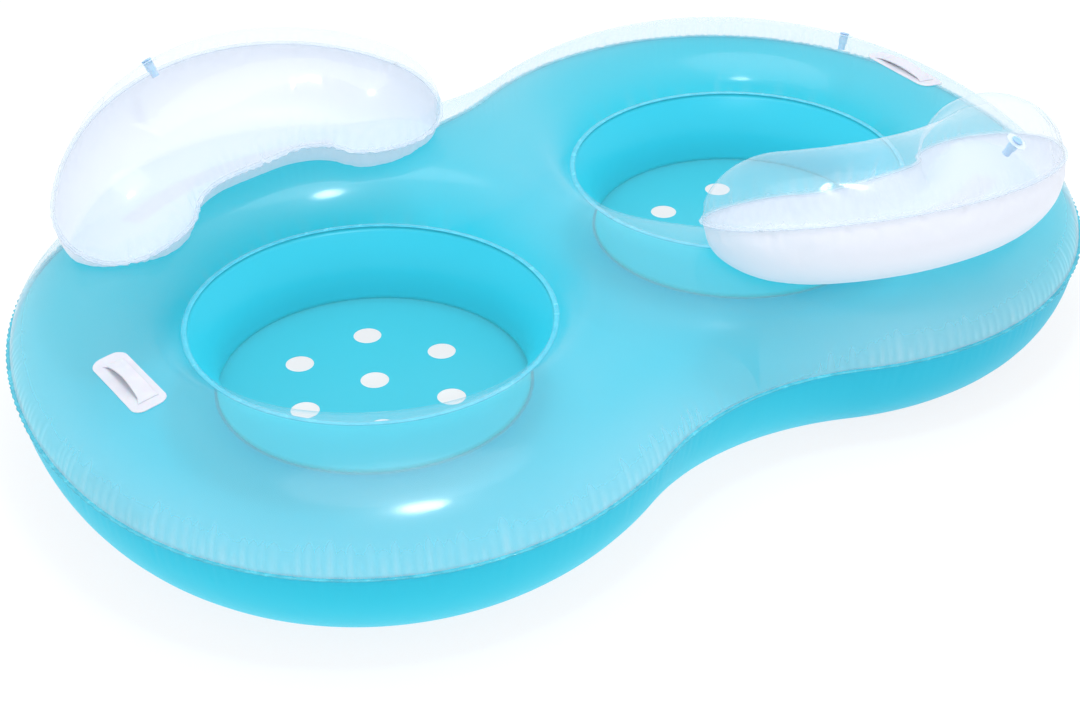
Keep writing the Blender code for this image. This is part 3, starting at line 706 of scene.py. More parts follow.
class NodeBench:
    """Lays out the nodes of one material."""

    def __init__(self, name: str) -> None:
        """Starts an empty material.

        Args:
            name: The material's name.
        """
        self.material = bpy.data.materials.new(name)
        self.material.use_nodes = True
        self.tree = self.material.node_tree
        self.tree.nodes.clear()
        self.output = self.add("ShaderNodeOutputMaterial")

    def add(self, kind: str, values: Optional[dict] = None, **settings: object) -> bpy.types.Node:
        """Adds a node.

        Args:
            kind: The node's type.
            values: Input name to a value, or to an output socket that feeds it.
            **settings: The node's own settings.

        Returns:
            The node.
        """
        node = self.tree.nodes.new(kind)
        for key, value in settings.items():
            setattr(node, key, value)
        for key, value in (values or {}).items():
            socket = node.inputs[key]
            if isinstance(value, bpy.types.NodeSocket):
                self.tree.links.new(value, socket)
            else:
                socket.default_value = value
        return node

    def place(self) -> bpy.types.NodeSocket:
        """The point's place on the piece."""
        return self.add("ShaderNodeTexCoord").outputs["Object"]

    def noise(self, scale: float, detail: float = 2.0,
              vector: Optional[bpy.types.NodeSocket] = None) -> bpy.types.NodeSocket:
        """A noise pattern.

        Args:
            scale: Repeats in a metre.
            detail: Octaves.
            vector: What it reads, or None for the place on the piece.

        Returns:
            Its factor.
        """
        values = {"Vector": vector or self.place(), "Scale": scale, "Detail": detail}
        return self.add("ShaderNodeTexNoise", values).outputs["Fac"]

    def ramp(self, value: bpy.types.NodeSocket, low: float, high: float,
             from_low: float = 0.0, from_high: float = 1.0) -> bpy.types.NodeSocket:
        """Maps one range of a number to another."""
        values = {"Value": value, "From Min": from_low, "From Max": from_high,
                  "To Min": low, "To Max": high}
        return self.add("ShaderNodeMapRange", values).outputs["Result"]

    def layer(self, name: str) -> bpy.types.NodeSocket:
        """A number that the piece keeps for each point."""
        return self.add("ShaderNodeAttribute", attribute_name=name).outputs["Fac"]

    def math(self, operation: str, one: object, two: object) -> bpy.types.NodeSocket:
        """One sum of two numbers."""
        return self.add("ShaderNodeMath", {0: one, 1: two}, operation=operation).outputs[0]

    def bump(self, height: bpy.types.NodeSocket, depth: float,
             under: Optional[bpy.types.NodeSocket] = None) -> bpy.types.NodeSocket:
        """Relief from a height pattern.

        Args:
            height: The pattern.
            depth: Its relief in metres.
            under: A normal that it adds to.

        Returns:
            The new normal.
        """
        values = {"Height": height, "Distance": depth, "Strength": 1.0}
        if under is not None:
            values["Normal"] = under
        return self.add("ShaderNodeBump", values).outputs["Normal"]

    def blend(self, share: bpy.types.NodeSocket, one: tuple, two: tuple) -> bpy.types.NodeSocket:
        """Blends two colours.

        Args:
            share: The second one's share.
            one: The first colour.
            two: The second colour.

        Returns:
            The blended colour.
        """
        node = self.add("ShaderNodeMix", data_type="RGBA")
        self.tree.links.new(share, node.inputs["Factor"])
        node.inputs["A"].default_value = (*one, 1.0)
        node.inputs["B"].default_value = (*two, 1.0)
        for socket in node.inputs:
            if socket.type == "RGBA":
                socket.default_value = (*(one if socket.name == "A" else two), 1.0)
        return next(s for s in node.outputs if s.type == "RGBA")

    def mixed(self, share: object, one: bpy.types.NodeSocket,
              two: bpy.types.NodeSocket) -> bpy.types.NodeSocket:
        """Mixes two shaders by the second one's share.

        Args:
            share: The share.
            one: The first shader.
            two: The second shader.

        Returns:
            The mixed shader.
        """
        node = self.add("ShaderNodeMixShader", {0: share})
        self.tree.links.new(one, node.inputs[1])
        self.tree.links.new(two, node.inputs[2])
        return node.outputs[0]

    def close(self, shader: bpy.types.NodeSocket) -> bpy.types.Material:
        """Links the shader to the output and gives the material."""
        self.tree.links.new(shader, self.output.inputs["Surface"])
        return self.material


@dataclass(frozen=True)
class DyedVinyl:
    """Dyed soft sheet: even colour, soft gloss, faint ripple, some light let through, and a painted glow
    (emission) that brightens it, strongest on its face in the air chamber.

    Noise scales are repeats in a metre.
    """

    name: str
    colour: tuple[float, float, float]
    shade: tuple[float, float, float]
    lit: tuple[float, float, float]
    roughness: float = 0.30
    ripple: float = 0.0010
    passed: float = 0.45
    # Painted glow: emission colours that brighten the sheet, the first everywhere, the second on its face
    # in the air chamber
    painted_glow: tuple[float, float, float] = (0.0, 0.0, 0.0)
    painted_inner_glow: tuple[float, float, float] = (0.0, 0.0, 0.0)
    cloud_scale: float = 3.2
    grain_scale: float = 240.0
    swell_scale: float = 9.0
    mirror: float = 0.40

    def material(self) -> bpy.types.Material:
        """Makes the finish, with a painted glow (emission) that is stronger on its face in the air
        chamber.

        Returns:
            The material.
        """
        bench = NodeBench(self.name)
        # Painted glow: emission blended from the even glow to the air-chamber glow by the mask layer
        glow_paint = bench.blend(bench.layer("hidden"), self.painted_glow, self.painted_inner_glow)
        broad = bench.noise(self.cloud_scale)
        fine = bench.noise(self.grain_scale, 3.0)
        colour = bench.blend(bench.ramp(broad, 0.0, 1.0, 0.3, 0.75), self.colour, self.shade)
        rough = bench.ramp(fine, self.roughness - 0.05, self.roughness + 0.07)
        normal = bench.bump(bench.noise(self.swell_scale), self.ripple * 2)
        normal = bench.bump(fine, self.ripple / 40, normal)
        values = {"Base Color": colour, "Roughness": rough, "Normal": normal,
                  "IOR": 1.5, "Specular IOR Level": self.mirror,
                  "Emission Color": glow_paint, "Emission Strength": 1.0}
        sheet = bench.add("ShaderNodeBsdfPrincipled", values)
        values = {"Color": (*self.lit, 1.0), "Normal": normal}
        through = bench.add("ShaderNodeBsdfTranslucent", values)
        return bench.close(bench.mixed(self.passed, sheet.outputs[0], through.outputs[0]))


@dataclass(frozen=True)
class ClearVinyl:
    """Clear soft sheet: sees through, mirrors more at a glance, milky at pleats and welds."""

    name: str
    haze: float = 0.045
    gloss: float = 0.042
    glance: float = 0.50
    rim_clear: float = 0.9
    ripple: float = 0.0012
    tint: tuple[float, float, float] = (0.975, 0.988, 0.996)
    milk: tuple[float, float, float] = (0.90, 0.92, 0.95)
    shine: tuple[float, float, float] = (0.97, 0.99, 1.0)
    soft_shine: float = 0.34
    pleat_share: float = 0.20
    weld_share: float = 0.34
    most_milk: float = 0.8
    back_share: float = 0.45
    cloud_scale: float = 2.4
    swell_scale: float = 5.0
    ripple_scale: float = 60.0
    gloss_scale: float = 28.0

    def open_share(self, bench: NodeBench) -> bpy.types.NodeSocket:
        """One, falling near a well's rim, where the sheet is stretched thin and clear."""
        return bench.math("SUBTRACT", 1.0, bench.math("MULTIPLY", bench.layer("rim"), self.rim_clear))

    def film(self, bench: NodeBench, normal: bpy.types.NodeSocket) -> bpy.types.NodeSocket:
        """The sheet's body: clear, with a milky share where it is pleated or welded.

        Args:
            bench: The material's bench.
            normal: The rippled normal.

        Returns:
            The shader.
        """
        cloud = bench.ramp(bench.noise(self.cloud_scale), self.haze * 0.6, self.haze * 1.4, 0.3, 0.7)
        cloud = bench.math("MULTIPLY", cloud, self.open_share(bench))
        pleat = bench.math("MULTIPLY", bench.layer("pleat"), self.pleat_share)
        weld = bench.math("MULTIPLY", bench.layer("weld"), self.weld_share)
        milk = bench.math("ADD", bench.math("ADD", cloud, pleat), weld)
        milk = bench.math("MINIMUM", milk, self.most_milk)
        through = bench.add("ShaderNodeBsdfTransparent", {"Color": (*self.tint, 1.0)})
        front = bench.add("ShaderNodeBsdfDiffuse", {"Color": (*self.milk, 1.0), "Normal": normal})
        back = bench.add("ShaderNodeBsdfTranslucent", {"Color": (*self.milk, 1.0)})
        both = bench.mixed(self.back_share, front.outputs[0], back.outputs[0])
        return bench.mixed(milk, through.outputs[0], both)

    def material(self) -> bpy.types.Material:
        """Makes the finish.

        Returns:
            The material.
        """
        bench = NodeBench(self.name)
        normal = bench.bump(bench.noise(self.swell_scale), self.ripple * 2.0)
        normal = bench.bump(bench.noise(self.ripple_scale), self.ripple / 24, normal)
        weight = bench.add("ShaderNodeLayerWeight", {"Blend": 0.5, "Normal": normal})
        edge = bench.math("POWER", weight.outputs["Facing"], 5.0)
        mirror = bench.math("ADD", bench.math("MULTIPLY", edge, self.glance), self.gloss)
        mirror = bench.math("MULTIPLY", mirror, self.open_share(bench))
        rough = bench.ramp(bench.noise(self.gloss_scale), 0.09, 0.16)
        values = {"Color": (*self.shine, 1.0), "Roughness": rough, "Normal": normal}
        sharp = bench.add("ShaderNodeBsdfGlossy", values)
        values = {"Color": (*self.shine, 1.0), "Roughness": self.soft_shine, "Normal": normal}
        soft = bench.add("ShaderNodeBsdfGlossy", values)
        shine = bench.mixed(0.5, sharp.outputs[0], soft.outputs[0])
        return bench.close(bench.mixed(mirror, self.film(bench, normal), shine))


@dataclass(frozen=True)
class WeldedEdge:
    """Welded lip of two sheets: fine ribs of the heated bar across a glossy strip."""

    name: str
    colour: tuple[float, float, float]
    shade: tuple[float, float, float]
    clear: float = 0.0
    ribs: float = 160.0
    rib_height: float = 0.00025
    patch_scale: float = 55.0
    see_through: tuple[float, float, float] = (0.94, 0.98, 1.0)

    def material(self) -> bpy.types.Material:
        """Makes the finish.

        Returns:
            The material.
        """
        bench = NodeBench(self.name)
        along = bench.layer("along")
        rib = bench.add("ShaderNodeTexWave", {"Scale": 1.0, "Distortion": 0.4}, wave_type="BANDS")
        path = bench.add("ShaderNodeCombineXYZ", {"X": bench.math("MULTIPLY", along, self.ribs)})
        bench.tree.links.new(path.outputs[0], rib.inputs["Vector"])
        patchy = bench.noise(self.patch_scale, 3.0)
        colour = bench.blend(bench.ramp(patchy, 0.0, 1.0, 0.35, 0.7), self.colour, self.shade)
        normal = bench.bump(rib.outputs["Fac"], self.rib_height)
        values = {"Base Color": colour, "Roughness": bench.ramp(patchy, 0.16, 0.34),
                  "Normal": normal, "IOR": 1.5, "Coat Weight": 0.3}
        film = bench.add("ShaderNodeBsdfPrincipled", values)
        if not self.clear:
            return bench.close(film.outputs[0])
        through = bench.add("ShaderNodeBsdfTransparent", {"Color": (*self.see_through, 1.0)})
        share = bench.ramp(patchy, 1 - self.clear - 0.1, 1 - self.clear + 0.1, 0.3, 0.7)
        return bench.close(bench.mixed(share, through.outputs[0], film.outputs[0]))


@dataclass(frozen=True)
class MouldedVinyl:
    """Moulded soft piece: milky, slightly translucent, with a fine mould grain."""

    name: str
    colour: tuple[float, float, float]
    shade: tuple[float, float, float]
    roughness: float = 0.38
    grain: float = 0.00006
    depth: float = 0.004
    grain_scale: float = 900.0
    dimple_scale: float = 120.0
    cloud_scale: float = 38.0

    def material(self) -> bpy.types.Material:
        """Makes the finish.

        Returns:
            The material.
        """
        bench = NodeBench(self.name)
        grain = bench.noise(self.grain_scale, 3.0)
        cloud = bench.ramp(bench.noise(self.cloud_scale), 0.0, 1.0, 0.3, 0.7)
        colour = bench.blend(cloud, self.colour, self.shade)
        normal = bench.bump(bench.noise(self.dimple_scale), self.grain * 2)
        normal = bench.bump(grain, self.grain, normal)
        values = {"Base Color": colour, "Normal": normal, "IOR": 1.48,
                  "Roughness": bench.ramp(grain, self.roughness - 0.06, self.roughness + 0.08),
                  "Subsurface Weight": 0.25, "Subsurface Scale": self.depth}
        shader = bench.add("ShaderNodeBsdfPrincipled", values)
        return bench.close(shader.outputs[0])


@dataclass(frozen=True)
class Finishes:
    """Every finish on the raft."""

    clear: bpy.types.Material
    pillow_clear: bpy.types.Material
    turquoise: bpy.types.Material
    wall: bpy.types.Material
    floor: bpy.types.Material
    white: bpy.types.Material
    seam: bpy.types.Material
    rim: bpy.types.Material
    pillow_seam: bpy.types.Material
    handle: bpy.types.Material
    ring: bpy.types.Material
    valve: bpy.types.Material
    plug: bpy.types.Material

    @classmethod
    def make(cls) -> "Finishes":
        """Makes them all."""
        return cls(
            clear=ClearVinyl("raft_clear_vinyl").material(),
            pillow_clear=ClearVinyl("backrest_clear_vinyl", haze=0.09).material(),
            # Turquoise, wall and floor carry a painted glow (emission) on top of their dye, strongest on
            # faces inside the air chamber
            turquoise=DyedVinyl("turquoise_vinyl", (0.014, 0.460, 0.640), (0.020, 0.485, 0.665),
                                (0.060, 0.830, 0.950), painted_inner_glow=(0.010, 0.150, 0.140)).material(),
            wall=DyedVinyl("wall_vinyl", (0.012, 0.460, 0.640), (0.018, 0.480, 0.660),
                           (0.045, 0.860, 0.980), painted_glow=(0.045, 0.150, 0.090),
                           painted_inner_glow=(0.030, 0.360, 0.290)).material(),
            floor=DyedVinyl("floor_vinyl", (0.020, 0.460, 0.640), (0.026, 0.480, 0.660),
                            (0.045, 0.860, 0.980), painted_glow=(0.085, 0.115, 0.025)).material(),
            white=DyedVinyl("white_vinyl", (0.80, 0.81, 0.88), (0.82, 0.83, 0.90),
                            (0.92, 0.92, 0.97), 0.34, passed=0.20).material(),
            seam=WeldedEdge("seam_weld", (0.02, 0.40, 0.54), (0.07, 0.56, 0.70)).material(),
            rim=WeldedEdge("rim_weld", (0.03, 0.50, 0.68), (0.07, 0.60, 0.77)).material(),
            pillow_seam=WeldedEdge("backrest_weld", (0.72, 0.76, 0.85), (0.80, 0.84, 0.91),
                                   0.6).material(),
            handle=MouldedVinyl("handle_vinyl", (0.60, 0.61, 0.68), (0.64, 0.65, 0.71)).material(),
            ring=WeldedEdge("valve_ring_vinyl", (0.86, 0.92, 0.97), (0.92, 0.96, 1.0), 0.55).material(),
            valve=MouldedVinyl("valve_vinyl", (0.40, 0.60, 0.80), (0.46, 0.66, 0.84), 0.3).material(),
            plug=MouldedVinyl("plug_vinyl", (0.26, 0.47, 0.72), (0.34, 0.55, 0.78), 0.3).material(),
        )


# The raft's pieces


@dataclass
class Rings:
    """The two rings: clear top sheet, turquoise bottom sheet and the seam between them."""

    form: RaftForm
    around: int = 800
    waist: int = 72
    rows: int = 36
    lip_out: float = 0.0062
    lip_in: float = 0.0038
    lip: float = 0.0010
    dip: float = 0.011
    dip_width: float = 0.125
    dip_skew: float = 0.7
    calm_share: float = 0.10
    least_pull: float = 0.15
    held: float = 0.002
    rim_held: float = 0.004
    weld: float = 0.003
    clear_width: float = 0.085
    milky_width: float = 0.14
    milky_share: float = 0.50
    far_milky_share: float = 0.18
    under_share: float = 0.75
    under_spread: float = 1.3
    # Reach of the painted glow on the bottom sheet's inner face from each well, and its share far from
    # the wells
    glow_width: float = 0.09
    far_glow_share: float = 0.4
    outline_steps: int = 900
    blocks: int = 60
    lip_columns: int = 1500
    lip_wave: float = 0.0030
    lip_drop: float = 0.0016
    lip_reach: float = 0.006
    pleats: Gathers = Gathers(11, 0.011, 0.021, 0.0009, 0.0022, 0.026, 0.070)
    rim_pleats: Gathers = Gathers(23, 0.016, 0.034, 0.0001, 0.0009, 0.018, 0.060)

    def strength(self, share: np.ndarray) -> np.ndarray:
        """How hard the seam gathers at a share of one lobe's outline: least by the waist."""
        pull = smooth_step(share / self.calm_share) * smooth_step((1 - share) / self.calm_share)
        return self.least_pull + (1 - self.least_pull) * pull

    def pull(self, grid: LobeGrid) -> np.ndarray:
        """How hard the seam gathers each column: least where the outline turns in at the waist."""
        return np.where(grid.on_waist, 0.0, self.strength(grid.along / grid.length))

    def top_sheet(self, finishes: Finishes) -> bpy.types.Object:
        """Shapes the clear top sheet.

        Args:
            finishes: The raft's finishes.

        Returns:
            The sheet.
        """
        grid = LobeGrid(self.form, self.form.well, self.around, self.waist, self.rows)
        height = grid.inflated(self.form.rim + SEAM_GAP, self.form.seam + SEAM_GAP, self.form.crest)
        points = np.concatenate([grid.plan, height[:, :, None]], axis=2)
        away, near = grid.away_from_seam(points), grid.away_from_well(points)
        reach = (near / self.dip_width).clip(0, 1) ** self.dip_skew
        points[:, :, 2] -= self.dip * np.sin(math.pi * reach) ** 2
        along = np.broadcast_to(grid.along[:, None], away.shape)
        depth = self.pleats.depth(along, away, grid.length) * self.pull(grid)[:, None]
        round_well = np.broadcast_to(grid.around_well[:, None], away.shape)
        total = math.tau * self.form.well
        rim = self.rim_pleats.depth(round_well, near, total) * smooth_step(near / self.rim_held)
        beside = smooth_step(1 - away / self.milky_width) * (0.3 + 0.7 * self.pull(grid)[:, None])
        milky = self.milky_share * beside + self.far_milky_share * smooth_step((near - 0.05) / 0.12)
        depth = depth * smooth_step(away / self.held) + rim
        points -= grid.normals(points) * depth[:, :, None]
        welds = 0.3 * np.exp(-away / self.weld) + 0.1 * np.exp(-near / self.held)
        layers = {"pleat": depth / self.pleats.deep, "along": along,
                  "rim": smooth_step(1 - near / self.clear_width), "weld": welds + milky}
        sheet = grid.make("top_sheet_film", points, layers)
        dress(sheet, finishes.clear, "raft", ["top_sheet"])
        return sheet

    def rounded(self, distance: np.ndarray, width: float, height: float) -> np.ndarray:
        """Height of a rounded edge that starts upright and ends level after its width."""
        left = (1 - distance / width).clip(0, 1)
        return height * (1 - np.sqrt(1 - left * left))

    def bottom_sheet(self, finishes: Finishes) -> bpy.types.Object:
        """Shapes the turquoise bottom sheet.

        Args:
            finishes: The raft's finishes.

        Returns:
            The sheet.
        """
        form = self.form
        grid = LobeGrid(form, form.floor, self.around, self.waist, self.rows)
        plan = grid.plan.reshape(-1, 2)
        half = form.half(self.outline_steps)
        loop = np.concatenate([half, -half[1:]])
        out = np.full(len(plan), form.lobe)
        run = np.diff(loop, axis=0)
        for block in np.array_split(np.arange(len(plan)), self.blocks):
            arms = plan[block][:, None, :] - loop[None, :-1, :]
            share = ((arms * run).sum(axis=2) / (run * run).sum(axis=1)).clip(0, 1)
            out[block] = np.linalg.norm(arms - share[:, :, None] * run, axis=2).min(axis=1)
        left = np.linalg.norm(plan - form.left_well, axis=1)
        right = np.linalg.norm(plan + form.left_well, axis=1)
        inward = np.minimum(left, right) - form.floor
        outer = self.rounded(out, form.outer_curve, form.seam - SEAM_GAP + form.foot)
        inner = self.rounded(inward, form.inner_curve, form.floor_height - SEAM_GAP + form.foot)
        height = np.maximum(np.maximum(outer, inner) - form.foot, 0).reshape(grid.columns, -1)
        points = np.concatenate([grid.plan, height[:, :, None]], axis=2)
        away = grid.away_from_seam(points)
        along = np.broadcast_to(grid.along[:, None], away.shape)
        depth = self.pleats.depth(along, away * self.under_spread, grid.length)
        depth = depth * self.pull(grid)[:, None] * self.under_share
        normal = grid.normals(points)
        points += normal * (depth * smooth_step(away / self.held))[:, :, None]
        points[:, :, 2] = points[:, :, 2].clip(0.0)
        sheet = grid.make("bottom_sheet_vinyl", points, {"along": along})
        take(sheet)
        bpy.ops.object.mode_set(mode="EDIT")
        bpy.ops.mesh.select_all(action="SELECT")
        bpy.ops.mesh.normals_make_consistent(inside=False)
        bpy.ops.object.mode_set(mode="OBJECT")
        # Painted glow mask: the upward inner face is painted brighter, most within reach of the wells
        spots = read_points(sheet)[:, :2]
        wells = [np.linalg.norm(spots - side * np.array(form.left_well), axis=1) for side in (1, -1)]
        glow_by_well = smooth_step(1 - (np.minimum(*wells) - form.floor) / self.glow_width)
        lit = self.far_glow_share + (1 - self.far_glow_share) * glow_by_well
        write_layer(sheet, "hidden", smooth_step(read_normals(sheet)[:, 2] * FACING) * lit)
        dress(sheet, finishes.turquoise, "raft", ["bottom_sheet"])
        return sheet

    def seam(self, finishes: Finishes) -> bpy.types.Object:
        """Makes the welded lip round the outline, wavy where the sheets gather.

        Args:
            finishes: The raft's finishes.

        Returns:
            The lip.
        """
        columns, rows = self.lip_columns, 4
        half = self.form.half(columns // 2)
        loop = np.concatenate([half[:-1], -half[:-1]])
        step = np.roll(loop, -1, axis=0) - np.roll(loop, 1, axis=0)
        step /= np.linalg.norm(step, axis=1, keepdims=True)
        out = np.stack([step[:, 1], -step[:, 0]], axis=1)
        run = np.linalg.norm(np.roll(loop, -1, axis=0) - loop, axis=1)
        along = np.concatenate([[0.0], np.cumsum(run)])[:-1]
        total = run.sum() / 2
        pull = self.strength((along % total) / total)
        wave = self.pleats.depth(along, np.full(columns, self.lip_reach), total) / self.pleats.deep * pull
        obj, column, row = blank("seam_weld", columns, rows)
        column %= columns
        across = row / rows
        reach = -self.lip_in + (self.lip_in + self.lip_out) * across
        reach -= self.lip_wave * wave[column] * smooth_step((across - 0.3) / 0.7)
        drop = self.lip_drop * (wave[column] - 0.3) * smooth_step((across - 0.4) / 0.6)
        plan = loop[column] + out[column] * reach[:, None]
        height = self.form.seam - drop
        shape_blank(obj, np.concatenate([plan, height[:, None]], axis=1))
        write_layer(obj, "along", along[column])
        tidy_mesh(obj)
        thicken(obj, self.lip, 0.0)
        dress(obj, finishes.seam, "raft", ["seam_flange"])
        return obj


@dataclass
class Well:
    """The left seat well: turquoise wall, floor with drain holes and the weld round the rim."""

    form: RaftForm
    wall_rows: int = 16
    segments: int = 192
    sheet: float = 0.0006
    drain: float = 0.0223
    drain_circle: float = 0.130
    lip_in: float = 0.0032
    lip_out: float = 0.0052
    lip: float = 0.0010
    lip_columns: int = 512
    hole_columns: int = 64

    def wall(self) -> bpy.types.Object:
        """Draws the wall down from the rim, ring by ring, bulging into the well.

        Returns:
            The wall.
        """
        form = self.form
        high, low = form.rim - SEAM_GAP, form.floor_height + self.sheet
        deselect()
        bpy.ops.mesh.primitive_circle_add(vertices=self.segments, radius=form.well,
                                          location=(*form.left_well, high))
        obj = named("well_left_wall_vinyl")
        bpy.ops.object.mode_set(mode="EDIT")
        bpy.ops.mesh.select_all(action="SELECT")
        radius = form.well
        centre = (*form.left_well, 0.0)
        for k in range(1, self.wall_rows + 1):
            share = k / self.wall_rows
            after = form.well + (form.floor - form.well) * share
            after -= form.bulge * math.sin(math.pi * share)
            bpy.ops.mesh.extrude_edges_move(
                TRANSFORM_OT_translate={"value": (0.0, 0.0, (low - high) / self.wall_rows)})
            bpy.ops.transform.resize(value=(after / radius, after / radius, 1.0), center_override=centre)
            radius = after
        bpy.ops.object.mode_set(mode="OBJECT")
        settle(obj)
        tidy_mesh(obj)
        thicken(obj, self.sheet, 1.0)
        # Painted glow mask: the wall's outer face, inside the air chamber, is painted brighter
        arms = read_points(obj)[:, :2] - np.array(form.left_well)
        facing = (arms * read_normals(obj)[:, :2]).sum(axis=1) / form.well
        write_layer(obj, "hidden", smooth_step(facing * FACING))
        return obj

    def floor(self) -> bpy.types.Object:
        """Cuts the floor from a disc and punches its seven drain holes.

        Returns:
            The floor.
        """
        form = self.form
        place = (*form.left_well, form.floor_height)
        deselect()
        bpy.ops.mesh.primitive_cylinder_add(vertices=self.segments, radius=form.floor + self.lip_out,
                                            depth=self.sheet, location=place)
        obj = named("well_left_floor_vinyl")
        settle(obj)
        reach, turns = self.drain_circle, [k * math.pi / 3 for k in range(6)]
        spots = [(0.0, 0.0)] + [(reach * math.cos(turn), reach * math.sin(turn)) for turn in turns]
        punches = []
        for x, y in spots:
            deselect()
            bpy.ops.mesh.primitive_cylinder_add(vertices=self.hole_columns, radius=self.drain,
                                                depth=self.sheet * 12,
                                                location=(place[0] + x, place[1] + y, place[2]))
            punches.append(settle(named("punch")))
        for punch in punches:
            cut = obj.modifiers.new("drain", "BOOLEAN")
            cut.operation = "DIFFERENCE"
            cut.solver = "EXACT"
            cut.object = punch
        settle(obj)
        for punch in punches:
            bpy.data.objects.remove(punch)
        take(obj)
        bpy.ops.object.shade_smooth_by_angle(angle=math.radians(40))
        return obj

    def rim(self) -> bpy.types.Object:
        """Makes the welded lip round the well's mouth.

        Returns:
            The lip.
        """
        columns, rows = self.lip_columns, 3
        obj, column, row = blank("well_left_rim_weld", columns, rows)
        turn = column / columns * math.tau
        reach = self.form.well - self.lip_in + (self.lip_in + self.lip_out) * row / rows
        x = self.form.left_well[0] + reach * np.cos(turn)
        y = reach * np.sin(turn)
        shape_blank(obj, np.stack([x, y, np.full(len(x), self.form.rim)], axis=1))
        write_layer(obj, "along", turn * self.form.well)
        tidy_mesh(obj)
        return thicken(obj, self.lip, 0.0)

    def build(self, finishes: Finishes) -> None:
        """Builds the left well and copies it to the right."""
        parts = ((self.wall(), "wall", finishes.wall), (self.floor(), "floor", finishes.floor),
                 (self.rim(), "rim", finishes.rim))
        for obj, part, finish in parts:
            other = half_turn_copy(obj, obj.name.replace("left", "right"))
            dress(obj, finish, "raft", [f"well_left_{part}"])
            dress(other, finish, "raft", [f"well_right_{part}"])


@dataclass
class Backrest:
    """The left air pillow: clear top skin over a white underskin, gathered along its seam."""

    form: RaftForm
    ground: BVHTree
    arc: float = 0.2706
    shift: float = 0.0163
    setback: float = 0.208
    first: float = math.radians(31)
    last: float = math.radians(145)
    half_width: float = 0.110
    bow: float = 0.34
    drop: float = 0.0085
    lean: float = math.radians(17.7)
    tilt: float = math.radians(5.4)
    crown: float = 0.088
    belly: float = 0.111
    lip_out: float = 0.0052
    lip_in: float = 0.0030
    side_steps: int = 120
    cap_steps: int = 72
    rows: int = 26
    pressure: float = 4.0
    slack: float = 0.012
    frames: int = 20
    cap: float = 0.009
    clearance: float = 0.0028
    soft_touch: float = 0.004
    mass: float = 0.35
    stretch: float = 25.0
    shear: float = 8.0
    bend: float = 0.12
    leans: tuple[float, ...] = (0.0, 4.0, 8.0, 12.0)
    held: float = 0.002
    weld: float = 0.003
    lip: float = 0.0010
    lip_lift: float = 0.0014
    lip_reach: float = 0.006
    strip_reach: float = 0.425
    strip_half: float = 0.200
    strip_width: float = 0.040
    strip_gap: float = 0.0004
    fill: float = 0.9
    pleats: Gathers = Gathers(37, 0.012, 0.024, 0.0006, 0.0026, 0.020, 0.075)

    def frame(self) -> np.ndarray:
        """For each column, its spot on the middle line and its arm to the edge.

        Returns:
            One row for each column: the spot, then the arm along and across.
        """
        half = self.arc * (self.last - self.first) / 2
        spots = []
        for side in (1, -1):
            for k in range(self.side_steps):
                share = 1 - 2 * k / self.side_steps
                bow = self.bow * (1 - share * share) ** 2 if side < 0 else 0.0
                spots.append((side * half * share, 0.0, side * (1 + bow)))
            for k in range(self.cap_steps):
                turn = side * math.pi / 2 + math.pi * k / self.cap_steps
                spots.append((-side * half, math.cos(turn), math.sin(turn)))
        return np.array(spots)

    def place(self, along: np.ndarray, across: np.ndarray, rise: np.ndarray) -> np.ndarray:
        """World points from places along and across the pillow's arc.

        Args:
            along: Distance along the arc.
            across: Distance outwards from it.
            rise: Height square to the seam's plane.

        Returns:
            The points.
        """
        turn = (self.first + self.last) / 2 - along / self.arc
        x, y = (self.arc + across) * np.cos(turn), (self.arc + across) * np.sin(turn)
        level = self.form.crest - self.drop + y * math.tan(self.lean) + x * math.tan(self.tilt)
        normal = np.array([-math.tan(self.tilt), -math.tan(self.lean), 1.0])
        normal /= np.linalg.norm(normal)
        corner = np.array([self.form.left_well[0] + self.shift, self.setback, 0.0])
        return corner + np.stack([x, y, level], axis=-1) + normal * rise[..., None]

    def ring(self, share: float, rise: float) -> np.ndarray:
        """Points round the pillow at a share of its half width.

        Args:
            share: The share.
            rise: Height over the seam's plane.

        Returns:
            One point for each column.
        """
        spots = self.frame()
        reach = self.half_width * share
        return self.place(spots[:, 0] + spots[:, 1] * reach, spots[:, 2] * reach,
                          np.full(len(spots), rise))

    def run_along(self) -> np.ndarray:
        """Distance of each column along the seam.

        Returns:
            The distances, and the seam's length at their end.
        """
        ring = self.ring(1.0, 0.0)
        step = np.linalg.norm(np.roll(ring, -1, axis=0) - ring, axis=1)
        return np.concatenate([[0.0], np.cumsum(step)])

    def blow_up(self, obj: bpy.types.Object) -> None:
        """Fills a skin with air: its seam is held, its sheet is a little too big, and it swells.

        Args:
            obj: The skin, whose "held" layer says how firmly each point is held.
        """
        before = read_points(obj)
        held = obj.vertex_groups.new(name="held")
        for number, weight in enumerate(read_layer(obj, "held")):
            if weight > 0.01:
                held.add([number], float(weight), "REPLACE")
        take(obj)
        cloth = obj.modifiers.new("air", "CLOTH")
        sheet = cloth.settings
        sheet.quality = 6
        sheet.mass = self.mass
        sheet.tension_stiffness = sheet.compression_stiffness = self.stretch
        sheet.shear_stiffness = self.shear
        sheet.bending_stiffness = self.bend
        sheet.use_pressure = True
        sheet.uniform_pressure_force = self.pressure
        sheet.shrink_min = -self.slack
        sheet.vertex_group_mass = "held"
        sheet.effector_weights.gravity = 0.0
        scene = bpy.context.scene
        cloth.point_cache.frame_start, cloth.point_cache.frame_end = 1, self.frames
        for number in range(1, self.frames + 1):
            scene.frame_set(number)
        bpy.ops.object.modifier_apply(modifier=cloth.name)
        scene.frame_set(1)
        move = read_points(obj) - before
        far = np.linalg.norm(move, axis=1, keepdims=True)
        LOG.info("%s: swelled by %.1f mm, at most %.1f mm", obj.name, far.mean() * 1e3, far.max() * 1e3)
        move *= self.cap * np.tanh(far / self.cap) / far.clip(1e-9)
        shape_blank(obj, before + move)
        obj.vertex_groups.clear()

